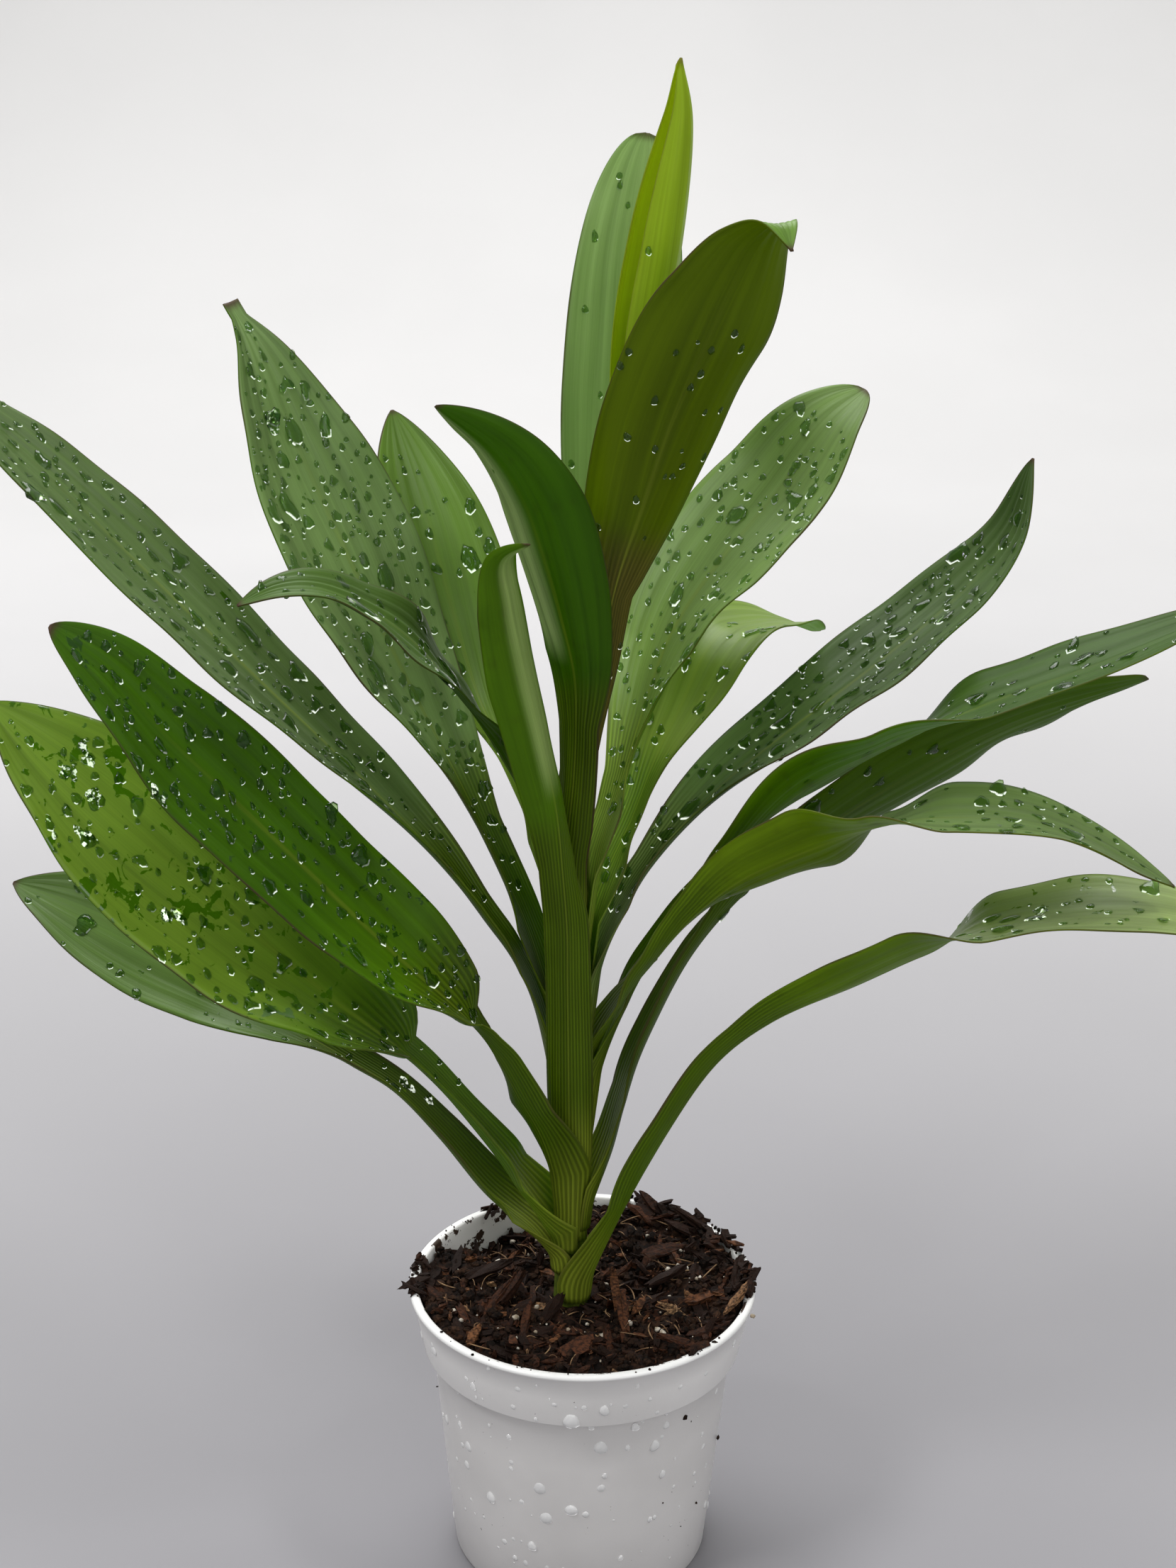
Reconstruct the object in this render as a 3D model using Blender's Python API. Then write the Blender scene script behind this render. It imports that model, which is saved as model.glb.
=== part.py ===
"""Potted cordyline: a 12 cm pot, its soil, and one cane that carries nineteen leaves.

The origin is the middle of the pot's foot, +Z is up and -Y is the side that faces the viewer.
Sizes below are in millimetres; MM turns them into Blender's metres.
"""
import math
import random

import bmesh
import bpy
import numpy as np

MM = 0.001
GAP = 0.3

# Pot: outer radii and heights, then the wall
POT_HEIGHT = 103.0
FOOT_RADIUS = 44.6
FOOT_CHAMFER = 1.2
BODY_TOP_RADIUS = 52.0
COLLAR_BOTTOM = 80.4
COLLAR_BOTTOM_RADIUS = 55.0
RIM_RADIUS = 60.0
LIP_WIDTH = 3.2
LIP_DROP = 1.6
WALL = 1.6
FLOOR = 2.0
POT_SIDES = 48

# Soil: its level by the cane and the mounds around it
SOIL_LEVEL = 95.8
SOIL_RISE = 4.5
SOIL_RINGS = 7
SOIL_SIDES = 36
SOIL_ROUGHNESS = 1.3
HOLE_DEPTH = 36.0
HOLLOW_ANGLE = 128.0
HOLLOW_WIDTH = 38.0
HOLLOW_DEPTH = 9.0

# Cane: where it stands in the pot and how it tapers
CANE_X = -4.0
CANE_FOOT = 97.0
CANE_RADIUS = 6.0
CANE_TIP_RADIUS = 1.6
CANE_LENGTH = 160.0
CANE_SIDES = 16
CANE_STEPS = 8

# How the leaf bases nest round the cane, one layer and one level up for each younger leaf
LEVEL = 8.5
LAYER = 1.2
SEAT = 0.7
FOOT_LIFT = 2.5
MOST_WRAP = 1.25
TIGHTEST_BEND = 0.9
ROLL_RUN = 60.0
NEST_FADE_START = 290.0
NEST_FADE = 30.0

# What all leaves share
THICKNESS = 0.62
SHEATH_HALF = 14.0
PETIOLE_HALF = 7.5
SHEATH_SHARE = 0.85
CHANNEL = 1.1
FOLD = 0.35
CHANNEL_START = 12.0
CHANNEL_RUN = 14.0
TIP_HALF = 0.7
WIDEST_AT = 1.12
BASE_FULLNESS = 1.2
TIP_FULLNESS = 0.75
ROWS = 22
COLUMNS = 6
PATH_STEPS = 400


def leaf(name, azimuth, free_at, petiole, width, route, sheath=SHEATH_HALF, base=BASE_FULLNESS,
         tip=TIP_FULLNESS, widest=WIDEST_AT, fold=FOLD, rolled=False):
    """One leaf. The midrib leaves the bundle at the height free_at and then runs through the route.

    A route point is how far it lies from the cane, its height, its sideways swing
    (counter-clockwise) and the blade's roll in degrees, all in the vertical plane at azimuth.
    A lower base or tip makes that end of the blade fuller, a higher widest moves its widest
    place towards the tip.
    """
    return dict(name=name, azimuth=azimuth, free_at=free_at, petiole=petiole, width=width,
                route=route, sheath=sheath, base=base, tip=tip, widest=widest, fold=fold,
                rolled=rolled)


# From the outermost, oldest leaf to the spear in the middle
LEAVES = [
    leaf("leaf_low_right", -20, 106, 120, 44,
         [(17, 131, 2, 0), (32, 165, 3, -12), (49, 195, 4, -26), (66, 212, 5, -32),
          (89, 227, 7, -32), (112, 242, 9, -28), (137, 255, 12, 0), (181, 264, 18, 5),
          (224, 256, 27, 5)]),
    leaf("leaf_low_left", 165, 113, 105, 42,
         [(13, 121, 0, 0), (30, 134, 0, 0), (47, 153, 0, 0), (63, 168, 0, 0), (78, 176, 0, -5),
          (104, 188, 0, -25), (129, 201, 0, -38), (155, 212, 0, -42), (179, 221, 0, -42),
          (203, 228, 0, -40)]),
    leaf("leaf_left_under", 180, 120, 92, 60,
         [(16, 138, 2, 0), (34, 165, 2, 0), (52, 188, 3, -10), (80, 212, 4, -30),
          (109, 239, 4, -48), (138, 267, 4, -52), (165, 294, 5, -50), (186, 315, 6, -45)], base=0.4),
    leaf("leaf_right_under", 10, 134, 110, 38,
         [(14, 154, 2, 0), (19, 174, 3, 0), (28, 197, 5, -5), (42, 222, 8, -15),
          (60, 242, 10, -35), (85, 261, 12, -55), (118, 281, 12, -60), (150, 297, 10, -50),
          (194, 312, 6, -40)], sheath=12),
    leaf("leaf_left_broad", 220, 146, 86, 46,
         [(13, 163, 0, 20), (21, 179, -1, 35), (28, 194, -2, 30), (34, 206, -5, -15),
          (43, 218, -9, -45), (60, 238, -17, -58), (84, 268, -26, -62), (105, 295, -36, -65),
          (124, 319, -44, -68), (138, 340, -51, -67), (153, 356, -58, -65)], sheath=17, base=0.42),
    leaf("leaf_front", -97, 205, 128, 26,
         [(16, 226, 0, 0), (19, 245, 0, 15), (23, 264, -1, 35), (27, 289, -3, 55),
          (31, 313, -7, 60), (37, 337, -11, 60), (46, 362, -14, 55), (55, 377, -14, 35),
          (64, 385, -6, 10)], sheath=9, fold=1.2),
    leaf("leaf_right_long", 6, 185, 110, 42,
         [(19, 210, 3, 0), (33, 235, 2, 0), (52, 263, -2, -30), (72, 286, -8, -50),
          (99, 303, -14, -32), (130, 319, -20, -3), (163, 334, -27, 0), (210, 357, -34, 0)]),
    leaf("leaf_left_long", 174, 188, 90, 46,
         [(16, 218, 1, 0), (29, 239, 2, 0), (45, 260, 1, -5), (70, 284, -3, -8),
          (102, 314, -5, -10), (135, 344, -9, -12), (172, 379, -12, -15), (215, 416, -15, -15)],
         sheath=12),
    leaf("leaf_right_twisted", 0, 192, 85, 44,
         [(14, 208, -3, 0), (25, 228, -9, -15), (38, 248, -15, -50), (52, 262, -19, -68),
          (73, 275, -24, -60), (95, 286, -30, -25), (117, 291, -35, 0), (147, 290, -40, 0),
          (185, 273, -45, 5)], sheath=12),
    leaf("leaf_back_left", 152, 205, 95, 54,
         [(15, 226, 0, 0), (24, 246, 0, 0), (42, 278, 0, -4), (64, 313, 0, -12),
          (85, 350, 0, -18), (104, 385, 0, -20), (118, 414, 0, -20), (129, 430, 0, -15)], tip=0.95),
    leaf("leaf_right_broad", 18, 222, 75, 50,
         [(16, 240, 1, 0), (31, 259, 4, 0), (51, 277, 7, 0), (79, 297, 7, 0), (109, 318, 6, 0),
          (137, 340, 5, 0), (152, 359, 4, 0), (158, 383, 5, 0)]),
    leaf("leaf_left_small", 205, 225, 80, 32,
         [(14, 272, 3, 0), (27, 303, 1, 0), (42, 326, 0, -10), (57, 344, 0, -25),
          (72, 356, 0, -15), (86, 363, 0, -10), (98, 364, 0, -10), (110, 360, -2, -10)], sheath=11),
    leaf("leaf_back_right", 50, 237, 80, 42,
         [(17, 252, 0, 0), (29, 267, 0, 0), (41, 285, 0, 0), (55, 301, 0, 0), (66, 315, 0, 0),
          (77, 321, 0, 0), (94, 320, 0, 0), (112, 316, 0, 0), (128, 309, 0, 0)]),
    leaf("leaf_back", 122, 243, 85, 46,
         [(15, 258, 0, 0), (36, 278, 0, 0), (62, 297, 0, 0), (80, 322, 0, 0), (97, 350, 0, 0),
          (123, 385, 0, 0)], sheath=10),
    leaf("leaf_upper_right", 30, 250, 70, 56,
         [(11, 260, 3, 0), (19, 277, 6, 0), (29, 299, 10, 0), (44, 328, 14, 0), (62, 350, 14, 5),
          (82, 371, 12, 10), (100, 393, 10, 15), (113, 403, 8, 15)], tip=0.55),
    leaf("leaf_upper_left", 240, 262, 85, 38,
         [(8, 292, 4, 0), (12, 312, 7, 0), (15, 330, 8, 0), (20, 350, 6, 0), (25, 369, 3, 0),
          (30, 387, -1, 0), (37, 403, -8, 5), (49, 418, -20, 15)], sheath=10, fold=1.0),
    leaf("leaf_top_back", 84, 284, 75, 39,
         [(7, 306, -2, 0), (11, 325, -4, 0), (16, 355, -6, 0), (22, 390, -9, 0),
          (28, 425, -11, 0), (32, 453, -12, 0), (36, 474, -14, 0), (39, 488, -16, 0)],
         sheath=5, tip=0.42, widest=1.25),
    leaf("leaf_top_front", -72, 276, 110, 45,
         [(7, 303, 1, 0), (9, 330, 5, 0), (13, 356, 8, 0), (19, 382, 14, 0), (27, 410, 20, 0),
          (36, 433, 26, 0), (43, 453, 32, 0), (52, 468, 36, 0), (63, 474, 38, 0),
          (71, 468, 39, 0)], sheath=5, base=0.75, tip=0.95),
    leaf("spear", 30, 290, 60, 42,
         [(7, 330, -2, 0), (15, 380, -5, 0), (21, 420, -7, 0), (27, 460, -11, 0),
          (29, 497, -13, 0), (25, 514, -14, 0)], tip=0.8, widest=1.8, fold=2.6, rolled=True),
]


def clear_scene():
    for ob in list(bpy.data.objects):
        bpy.data.objects.remove(ob, do_unlink=True)


def material(name, colour, roughness):
    mat = bpy.data.materials.new(name)
    mat.use_nodes = True
    shader = mat.node_tree.nodes["Principled BSDF"]
    shader.inputs["Base Color"].default_value = (*colour, 1.0)
    shader.inputs["Roughness"].default_value = roughness
    shader.inputs["Metallic"].default_value = 0.0
    return mat


def new_object(name, bm, mat, sharp_angle=40.0):
    """Turns a bmesh into a linked object in smooth shading."""
    mesh = bpy.data.meshes.new(name)
    bm.to_mesh(mesh)
    bm.free()
    mesh.shade_smooth()
    mesh.set_sharp_from_angle(angle=math.radians(sharp_angle))
    mesh.materials.append(mat)
    ob = bpy.data.objects.new(name, mesh)
    bpy.context.collection.objects.link(ob)
    return ob


def ease(x):
    """Smooth step from 0 to 1."""
    x = np.clip(x, 0.0, 1.0)
    return x * x * (3.0 - 2.0 * x)


def turned(profile, sides):
    """A closed body from a profile of (radius, height) that starts and ends on the axis."""
    bm = bmesh.new()
    verts = [bm.verts.new((r * MM, 0.0, z * MM)) for r, z in profile]
    edges = [bm.edges.new(pair) for pair in zip(verts, verts[1:])]
    bmesh.ops.spin(bm, geom=verts + edges, cent=(0, 0, 0), axis=(0, 0, 1), angle=2 * math.pi,
                   steps=sides, use_merge=True)
    bmesh.ops.remove_doubles(bm, verts=bm.verts, dist=GAP * MM * 0.1)
    bmesh.ops.recalc_face_normals(bm, faces=bm.faces)
    return bm


def wall_radius(z):
    """Inner radius of the pot at a height."""
    if z >= COLLAR_BOTTOM + WALL:
        share = (z - COLLAR_BOTTOM) / (POT_HEIGHT - COLLAR_BOTTOM)
        return COLLAR_BOTTOM_RADIUS - WALL + share * (RIM_RADIUS - LIP_WIDTH - COLLAR_BOTTOM_RADIUS + WALL)
    share = z / COLLAR_BOTTOM
    return FOOT_RADIUS - WALL + share * (BODY_TOP_RADIUS - FOOT_RADIUS)


def build_pot(mat):
    """Thin-walled nursery pot: tapered body, stepped collar and rounded lip."""
    inner_foot = wall_radius(FLOOR)
    profile = [
        (0.0, 0.0),
        (FOOT_RADIUS - FOOT_CHAMFER, 0.0),
        (FOOT_RADIUS, FOOT_CHAMFER),
        (BODY_TOP_RADIUS, COLLAR_BOTTOM),
        (COLLAR_BOTTOM_RADIUS - 0.4, COLLAR_BOTTOM),
        (COLLAR_BOTTOM_RADIUS, COLLAR_BOTTOM + 0.6),
        (RIM_RADIUS - 0.7, POT_HEIGHT - LIP_DROP),
        (RIM_RADIUS, POT_HEIGHT - 0.9),
        (RIM_RADIUS - 0.5, POT_HEIGHT - 0.1),
        (RIM_RADIUS - 0.5 * LIP_WIDTH, POT_HEIGHT),
        (RIM_RADIUS - LIP_WIDTH + 0.4, POT_HEIGHT - 0.3),
        (RIM_RADIUS - LIP_WIDTH, POT_HEIGHT - LIP_DROP),
        (wall_radius(COLLAR_BOTTOM + WALL), COLLAR_BOTTOM + WALL),
        (wall_radius(COLLAR_BOTTOM), COLLAR_BOTTOM),
        (inner_foot, FLOOR + 1.0),
        (inner_foot - 1.0, FLOOR),
        (0.0, FLOOR),
    ]
    return new_object("pot", turned(profile, POT_SIDES), mat)


def soil_height(x, y):
    """Height of the loose soil: flat by the cane, mounded towards the wall, hollow at the back left."""
    from_cane = math.hypot(x - CANE_X, y)
    angle = math.degrees(math.atan2(y, x))
    rise = SOIL_RISE * ease((from_cane - 9.0) / 34.0)
    lumps = math.sin(0.19 * x + 1.3) * math.cos(0.16 * y - 0.4) + 0.6 * math.sin(0.31 * y + 0.22 * x)
    away = abs((angle - HOLLOW_ANGLE + 180.0) % 360.0 - 180.0)
    hollow = HOLLOW_DEPTH * (1 - ease(away / HOLLOW_WIDTH)) * ease((from_cane - 22.0) / 20.0)
    near = ease((from_cane - 9.0) / 6.0)
    return SOIL_LEVEL + rise + SOIL_ROUGHNESS * lumps * near - hollow


def build_soil(mat):
    """Soil that fills the pot, closed, with a plain hole for the cane."""
    rng = random.Random(12)
    hole = CANE_RADIUS + GAP + 0.2
    bottom = FLOOR + GAP
    rings = [("deep", 0.0), ("deep", 1.0)]
    rings += [("top", i / SOIL_RINGS) for i in range(SOIL_RINGS + 1)]
    rings += [("wall", COLLAR_BOTTOM + WALL), ("wall", COLLAR_BOTTOM), ("wall", bottom + 1.2),
              ("base", 1.0), ("base", 0.0)]
    lumps = [[rng.uniform(-0.5, 0.5) for _ in range(SOIL_SIDES)] for _ in rings]
    bm = bmesh.new()
    bmesh.ops.create_grid(bm, x_segments=SOIL_SIDES, y_segments=len(rings) - 1, size=1.0)
    for v in bm.verts:
        column = round((v.co.x + 1) / 2 * SOIL_SIDES) % SOIL_SIDES
        row = round((v.co.y + 1) / 2 * (len(rings) - 1))
        kind, share = rings[row]
        angle = 2 * math.pi * column / SOIL_SIDES
        c, s = math.cos(angle), math.sin(angle)
        if kind == "deep":
            x, y, z = CANE_X + hole * share * c, hole * share * s, SOIL_LEVEL - HOLE_DEPTH
        elif kind == "top":
            outer = wall_radius(POT_HEIGHT - LIP_DROP) - 1.4
            x = (1 - share) * (CANE_X + hole * c) + share * outer * c
            y = (1 - share) * hole * s + share * outer * s
            z = soil_height(x, y)
            if share == 1.0:
                reach = min(outer, wall_radius(z - 2.0) - 3 * GAP)
                x, y, z = reach * c, reach * s, z - 1.0
            elif share > 0.2:
                z += lumps[row][column] * SOIL_ROUGHNESS
        elif kind == "wall":
            reach = wall_radius(share) - 2 * GAP
            x, y, z = reach * c, reach * s, share
        else:
            reach = (wall_radius(bottom) - 2.0) * share
            x, y, z = reach * c, reach * s, bottom
        v.co = (x * MM, y * MM, z * MM)
    bmesh.ops.remove_doubles(bm, verts=bm.verts, dist=0.05 * MM)
    bmesh.ops.triangulate(bm, faces=bm.faces)
    bmesh.ops.recalc_face_normals(bm, faces=bm.faces)
    return new_object("soil", bm, mat)


def cane_radius(z):
    share = np.clip((z - CANE_FOOT) / CANE_LENGTH, 0.0, 1.0)
    return CANE_RADIUS - (CANE_RADIUS - CANE_TIP_RADIUS) * share


def build_cane(mat):
    """The slim woody stem that stands in the soil and carries the leaf bases."""
    low = SOIL_LEVEL - HOLE_DEPTH + GAP
    profile = [(0.0, low), (CANE_RADIUS - 0.8, low), (CANE_RADIUS, low + 3.0)]
    for i in range(CANE_STEPS + 1):
        z = CANE_FOOT + CANE_LENGTH * i / CANE_STEPS
        profile.append((float(cane_radius(z)), z))
    profile.append((0.0, CANE_FOOT + CANE_LENGTH + 1.0))
    bm = turned(profile, CANE_SIDES)
    bmesh.ops.translate(bm, verts=bm.verts, vec=(CANE_X * MM, 0, 0))
    return new_object("cane", bm, mat)


def nest_radius(index, z):
    """Distance from the cane's axis of leaf index's layer at a height: younger leaves lie inside it."""
    inside = np.clip((z - CANE_FOOT) / LEVEL - index, 0, len(LEAVES) - 1 - index)
    return cane_radius(z) + SEAT + LAYER * inside


def smooth_path(points):
    """Even-tempered curve through the points (centripetal Catmull-Rom)."""
    p = np.asarray(points, float)
    knots = np.concatenate([[0], np.cumsum(np.linalg.norm(np.diff(p, axis=0), axis=1) ** 0.5)])
    p = np.vstack([2 * p[0] - p[1], p, 2 * p[-1] - p[-2]])
    knots = np.concatenate([[-knots[1]], knots, [2 * knots[-1] - knots[-2]]])
    pieces = len(points) - 1
    steps = PATH_STEPS // pieces
    out = []
    for i in range(pieces):
        t = np.linspace(knots[i + 1], knots[i + 2], steps + 1)[:, None]
        k0, k1, k2, k3 = knots[i:i + 4]
        p0, p1, p2, p3 = p[i:i + 4]
        a1 = ((k1 - t) * p0 + (t - k0) * p1) / (k1 - k0)
        a2 = ((k2 - t) * p1 + (t - k1) * p2) / (k2 - k1)
        a3 = ((k3 - t) * p2 + (t - k2) * p3) / (k3 - k2)
        b1 = ((k2 - t) * a1 + (t - k0) * a2) / (k2 - k0)
        b2 = ((k3 - t) * a2 + (t - k1) * a3) / (k3 - k1)
        curve = ((k2 - t) * b1 + (t - k1) * b2) / (k2 - k1)
        out.append(curve if i == pieces - 1 else curve[:-1])
    return np.vstack(out), steps


def half_width(dist, length, spec):
    """Half of the flattened leaf: sheath, petiole, then the lance-shaped blade."""
    sheath = spec["sheath"]
    strip = sheath - (sheath - PETIOLE_HALF) * ease(dist / (SHEATH_SHARE * spec["petiole"]))
    x = np.clip((dist - spec["petiole"]) / (length - spec["petiole"]), 0, 1)
    bulge = x ** spec["widest"]
    blade = np.sin(math.pi * bulge) ** np.where(bulge < 0.5, spec["base"], spec["tip"])
    return np.maximum(strip * (1 - ease(2 * x)) + spec["width"] / 2 * np.where(x < 1, blade, 0), TIP_HALF)


def leaf_surface(index, spec, rows, columns):
    """Middle surface of a leaf: a grid of points (rows + 1) by (columns + 1), from the cane."""
    azimuth = math.radians(spec["azimuth"])
    outward = np.array([math.cos(azimuth), math.sin(azimuth), 0.0])
    sideways = np.array([-math.sin(azimuth), math.cos(azimuth), 0.0])
    foot = CANE_FOOT + LEVEL * index + (FOOT_LIFT if index else 0.0)
    heights = [foot, (foot + spec["free_at"]) / 2, spec["free_at"]]
    if spec["free_at"] - foot > 3 * LEVEL:
        heights.insert(1, foot + LEVEL)
    stations = [(nest_radius(index, z), z, 0.0, 0.0) for z in heights]
    stations += [(max(r, nest_radius(index, z)), z, swing, roll) for r, z, swing, roll in spec["route"]]
    points = [outward * r + sideways * swing + np.array([0, 0, z]) for r, z, swing, _ in stations]
    path, steps = smooth_path(points)
    along = np.concatenate([[0], np.cumsum(np.linalg.norm(np.diff(path, axis=0), axis=1))])
    length = along[-1]
    dist = length * (1 - (1 - np.linspace(0, 1, rows + 1)) ** 1.15)

    def at(d):
        return np.stack([np.interp(np.clip(d, 0, length), along, path[:, c]) for c in range(3)], -1)

    middle = at(dist)
    tangent = at(dist + 0.008 * length) - at(dist - 0.008 * length)
    tangent /= np.linalg.norm(tangent, axis=1)[:, None]
    place = np.interp(dist, along[::steps], np.arange(len(stations)))
    low = np.clip(place.astype(int), 0, len(stations) - 2)
    rolls = np.array([s[3] for s in stations])
    blend = ease(place - low)
    roll = np.radians(rolls[low] * (1 - blend) + rolls[low + 1] * blend)[:, None]
    across = sideways - (tangent @ sideways)[:, None] * tangent
    across /= np.linalg.norm(across, axis=1)[:, None]
    across = np.cos(roll) * across + np.sin(roll) * np.cross(tangent, across)
    inward = np.cross(tangent, across)

    half = half_width(dist, length, spec)
    reach = np.hypot(middle[:, 0], middle[:, 1])
    blade = ease((dist - spec["petiole"]) / (length - spec["petiole"]) / 0.4)
    channel = CHANNEL * (1 - blade) * ease((reach - CHANNEL_START) / CHANNEL_RUN) + spec["fold"] * blade
    if spec["rolled"]:
        channel = spec["fold"] * ease(dist / ROLL_RUN)
    half = np.minimum(half, MOST_WRAP * np.maximum(reach, 1.0))
    wrap = np.clip(half / np.maximum(reach, 1.0), channel, np.maximum(channel, MOST_WRAP))
    wrap = np.minimum(wrap, half / TIGHTEST_BEND)[:, None]
    half = half[:, None]
    angle = wrap * np.linspace(-1, 1, columns + 1)[None, :]
    grid = (middle[:, None, :] + (half / wrap * np.sin(angle))[..., None] * across[:, None, :]
            + (half / wrap * (1 - np.cos(angle)))[..., None] * inward[:, None, :])

    # No point dips into the layers inside it
    radius = np.hypot(grid[..., 0], grid[..., 1])
    need = nest_radius(index, grid[..., 2])
    push = np.maximum(need - radius, 0) * (1 - ease((grid[..., 2] - NEST_FADE_START) / NEST_FADE))
    grid[..., :2] *= (1 + push / np.maximum(radius, 0.5))[..., None]
    return grid + np.array([CANE_X, 0, 0])


def build_leaf(index, spec, mat):
    """A leaf as a thin closed blade: its middle surface in triangles, thickened to both sides."""
    grid = leaf_surface(index, spec, ROWS, COLUMNS)
    bm = bmesh.new()
    bmesh.ops.create_grid(bm, x_segments=COLUMNS, y_segments=ROWS, size=1.0)
    for v in bm.verts:
        column = round((v.co.x + 1) / 2 * COLUMNS)
        row = round((v.co.y + 1) / 2 * ROWS)
        v.co = grid[row, column] * MM
    bmesh.ops.triangulate(bm, faces=bm.faces)
    ob = new_object(spec["name"], bm, mat, sharp_angle=70.0)
    thick = ob.modifiers.new("thickness", "SOLIDIFY")
    thick.thickness = THICKNESS * MM
    thick.offset = 0.0
    return ob


def main():
    clear_scene()
    white = material("pot_white", (0.78, 0.78, 0.79), 0.35)
    earth = material("soil_brown", (0.025, 0.014, 0.009), 0.95)
    bark = material("cane_green", (0.16, 0.22, 0.05), 0.6)
    mature = material("leaf_green", (0.05, 0.16, 0.035), 0.38)
    dark = material("leaf_dark", (0.05, 0.07, 0.015), 0.38)
    young = material("leaf_young", (0.14, 0.28, 0.03), 0.38)
    build_pot(white)
    build_soil(earth)
    build_cane(bark)
    for index, spec in enumerate(LEAVES):
        mat = {"spear": young, "leaf_top_front": dark}.get(spec["name"], mature)
        build_leaf(index, spec, mat)


main()
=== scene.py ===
import math
import random

import bmesh
import bpy
import numpy as np
from mathutils import Matrix, Vector, noise


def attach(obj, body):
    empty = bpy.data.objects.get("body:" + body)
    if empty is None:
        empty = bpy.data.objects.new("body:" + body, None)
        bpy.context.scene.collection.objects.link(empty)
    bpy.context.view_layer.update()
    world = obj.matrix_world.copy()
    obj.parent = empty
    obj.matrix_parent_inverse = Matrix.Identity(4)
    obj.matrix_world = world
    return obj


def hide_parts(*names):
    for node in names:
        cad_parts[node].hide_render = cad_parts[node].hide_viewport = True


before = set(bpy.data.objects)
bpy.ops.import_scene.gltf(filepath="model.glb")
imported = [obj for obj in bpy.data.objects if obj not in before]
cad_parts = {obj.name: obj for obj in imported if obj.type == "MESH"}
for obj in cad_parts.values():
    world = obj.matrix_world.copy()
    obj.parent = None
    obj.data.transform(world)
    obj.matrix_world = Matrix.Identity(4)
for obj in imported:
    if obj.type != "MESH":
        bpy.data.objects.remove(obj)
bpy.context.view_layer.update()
mm = 0.001
fullTurn = 2 * math.pi
imageWidth, imageHeight = 1659, 2212


# camera

viewpoint = dict(place=(0.0, -0.788, 0.591), down=21.07, roll=0.64, lens=60.22, sensor=36, clipEnd=60)


def addObject(name, data):
    thing = bpy.data.objects.new(name, data)
    bpy.context.collection.objects.link(thing)
    return thing


def cameraAxes():
    down, roll = math.radians(viewpoint["down"]), math.radians(viewpoint["roll"])
    ahead = Vector((0, math.cos(down), -math.sin(down)))
    upright = Vector((0, math.sin(down), math.cos(down)))
    right = math.cos(roll) * Vector((1, 0, 0)) + math.sin(roll) * upright
    up = math.cos(roll) * upright - math.sin(roll) * Vector((1, 0, 0))
    return right, up, ahead


def addCamera():
    data = bpy.data.cameras.new("camera")
    data.lens = viewpoint["lens"]
    data.sensor_width = viewpoint["sensor"]
    data.clip_end = viewpoint["clipEnd"]
    camera = addObject("camera", data)
    right, up, ahead = cameraAxes()
    matrix = Matrix((right, up, -ahead)).transposed().to_4x4()
    matrix.translation = eye
    camera.matrix_world = matrix
    bpy.context.scene.camera = camera


def pixelRay(px, py):
    # the line of sight through a pixel of the whole picture
    right, up, ahead = cameraAxes()
    sight = ahead + right * ((px - imageWidth / 2) / focal) - up * ((py - imageHeight / 2) / focal)
    return sight.normalized()


eye = Vector(viewpoint["place"])
focal = viewpoint["lens"] / viewpoint["sensor"] * imageHeight  # in pixels
addCamera()
print("camera set")


# small helpers for meshes

def addMesh(name, bm, materials, smooth=True, sharp=None):
    mesh = bpy.data.meshes.new(name)
    bm.to_mesh(mesh)
    bm.free()
    if smooth:
        mesh.shade_smooth()
    if sharp:
        mesh.set_sharp_from_angle(angle=math.radians(sharp))
    for material in materials:
        mesh.materials.append(material)
    return addObject(name, mesh)


def newPiece(name, bm, materials, replaces=None, smooth=True, sharp=None):
    piece = addMesh(name, bm, materials, smooth, sharp)
    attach(piece, "root")
    if replaces:
        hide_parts(replaces)
    return piece


def spun(profile, sides):
    # a closed shell from radii and heights in millimetres
    bm = bmesh.new()
    verts = [bm.verts.new((r * mm, 0.0, z * mm)) for r, z in profile]
    edges = [bm.edges.new(pair) for pair in zip(verts, verts[1:])]
    bmesh.ops.spin(bm, geom=verts + edges, cent=(0, 0, 0), axis=(0, 0, 1), angle=fullTurn, steps=sides, use_merge=True)
    bmesh.ops.remove_doubles(bm, verts=bm.verts, dist=0.02 * mm)
    bmesh.ops.recalc_face_normals(bm, faces=bm.faces)
    return bm


scratch = bpy.data.meshes.new("scratch")


def gathering(*layers):
    # a mesh that small shapes are gathered in, with the values that their material reads
    bm = bmesh.new()
    for name in layers:
        bm.verts.layers.float.new(name)
    return bm


def joinShape(bm, one, tone=None):
    if tone is not None:
        layer = one.verts.layers.float.new("tone")
        for v in one.verts:
            v[layer] = tone
    one.to_mesh(scratch)
    one.free()
    bm.from_mesh(scratch)


def ease(x):
    x = np.clip(x, 0.0, 1.0)
    return x * x * (3.0 - 2.0 * x)


def within(value, low, high):
    return min(max(value, low), high)


def linear(rgb):
    # screen colour 0-255 to the linear colour that shaders use
    parts = [c / 255 for c in rgb]
    return tuple(c / 12.92 if c <= 0.04045 else ((c + 0.055) / 1.055) ** 2.4 for c in parts)


# small helpers for nodes: each one works in the tree of the sockets that it is given

def treeOf(*values):
    return next(value for value in values if isinstance(value, bpy.types.NodeSocket)).id_data


def addNode(tree, kind, inputs=None, **settings):
    node = tree.nodes.new(kind)
    for key, value in settings.items():
        setattr(node, key, value)
    for key, value in (inputs or {}).items():
        if isinstance(value, bpy.types.NodeSocket):
            tree.links.new(value, node.inputs[key])
        else:
            node.inputs[key].default_value = value
    return node


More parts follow.
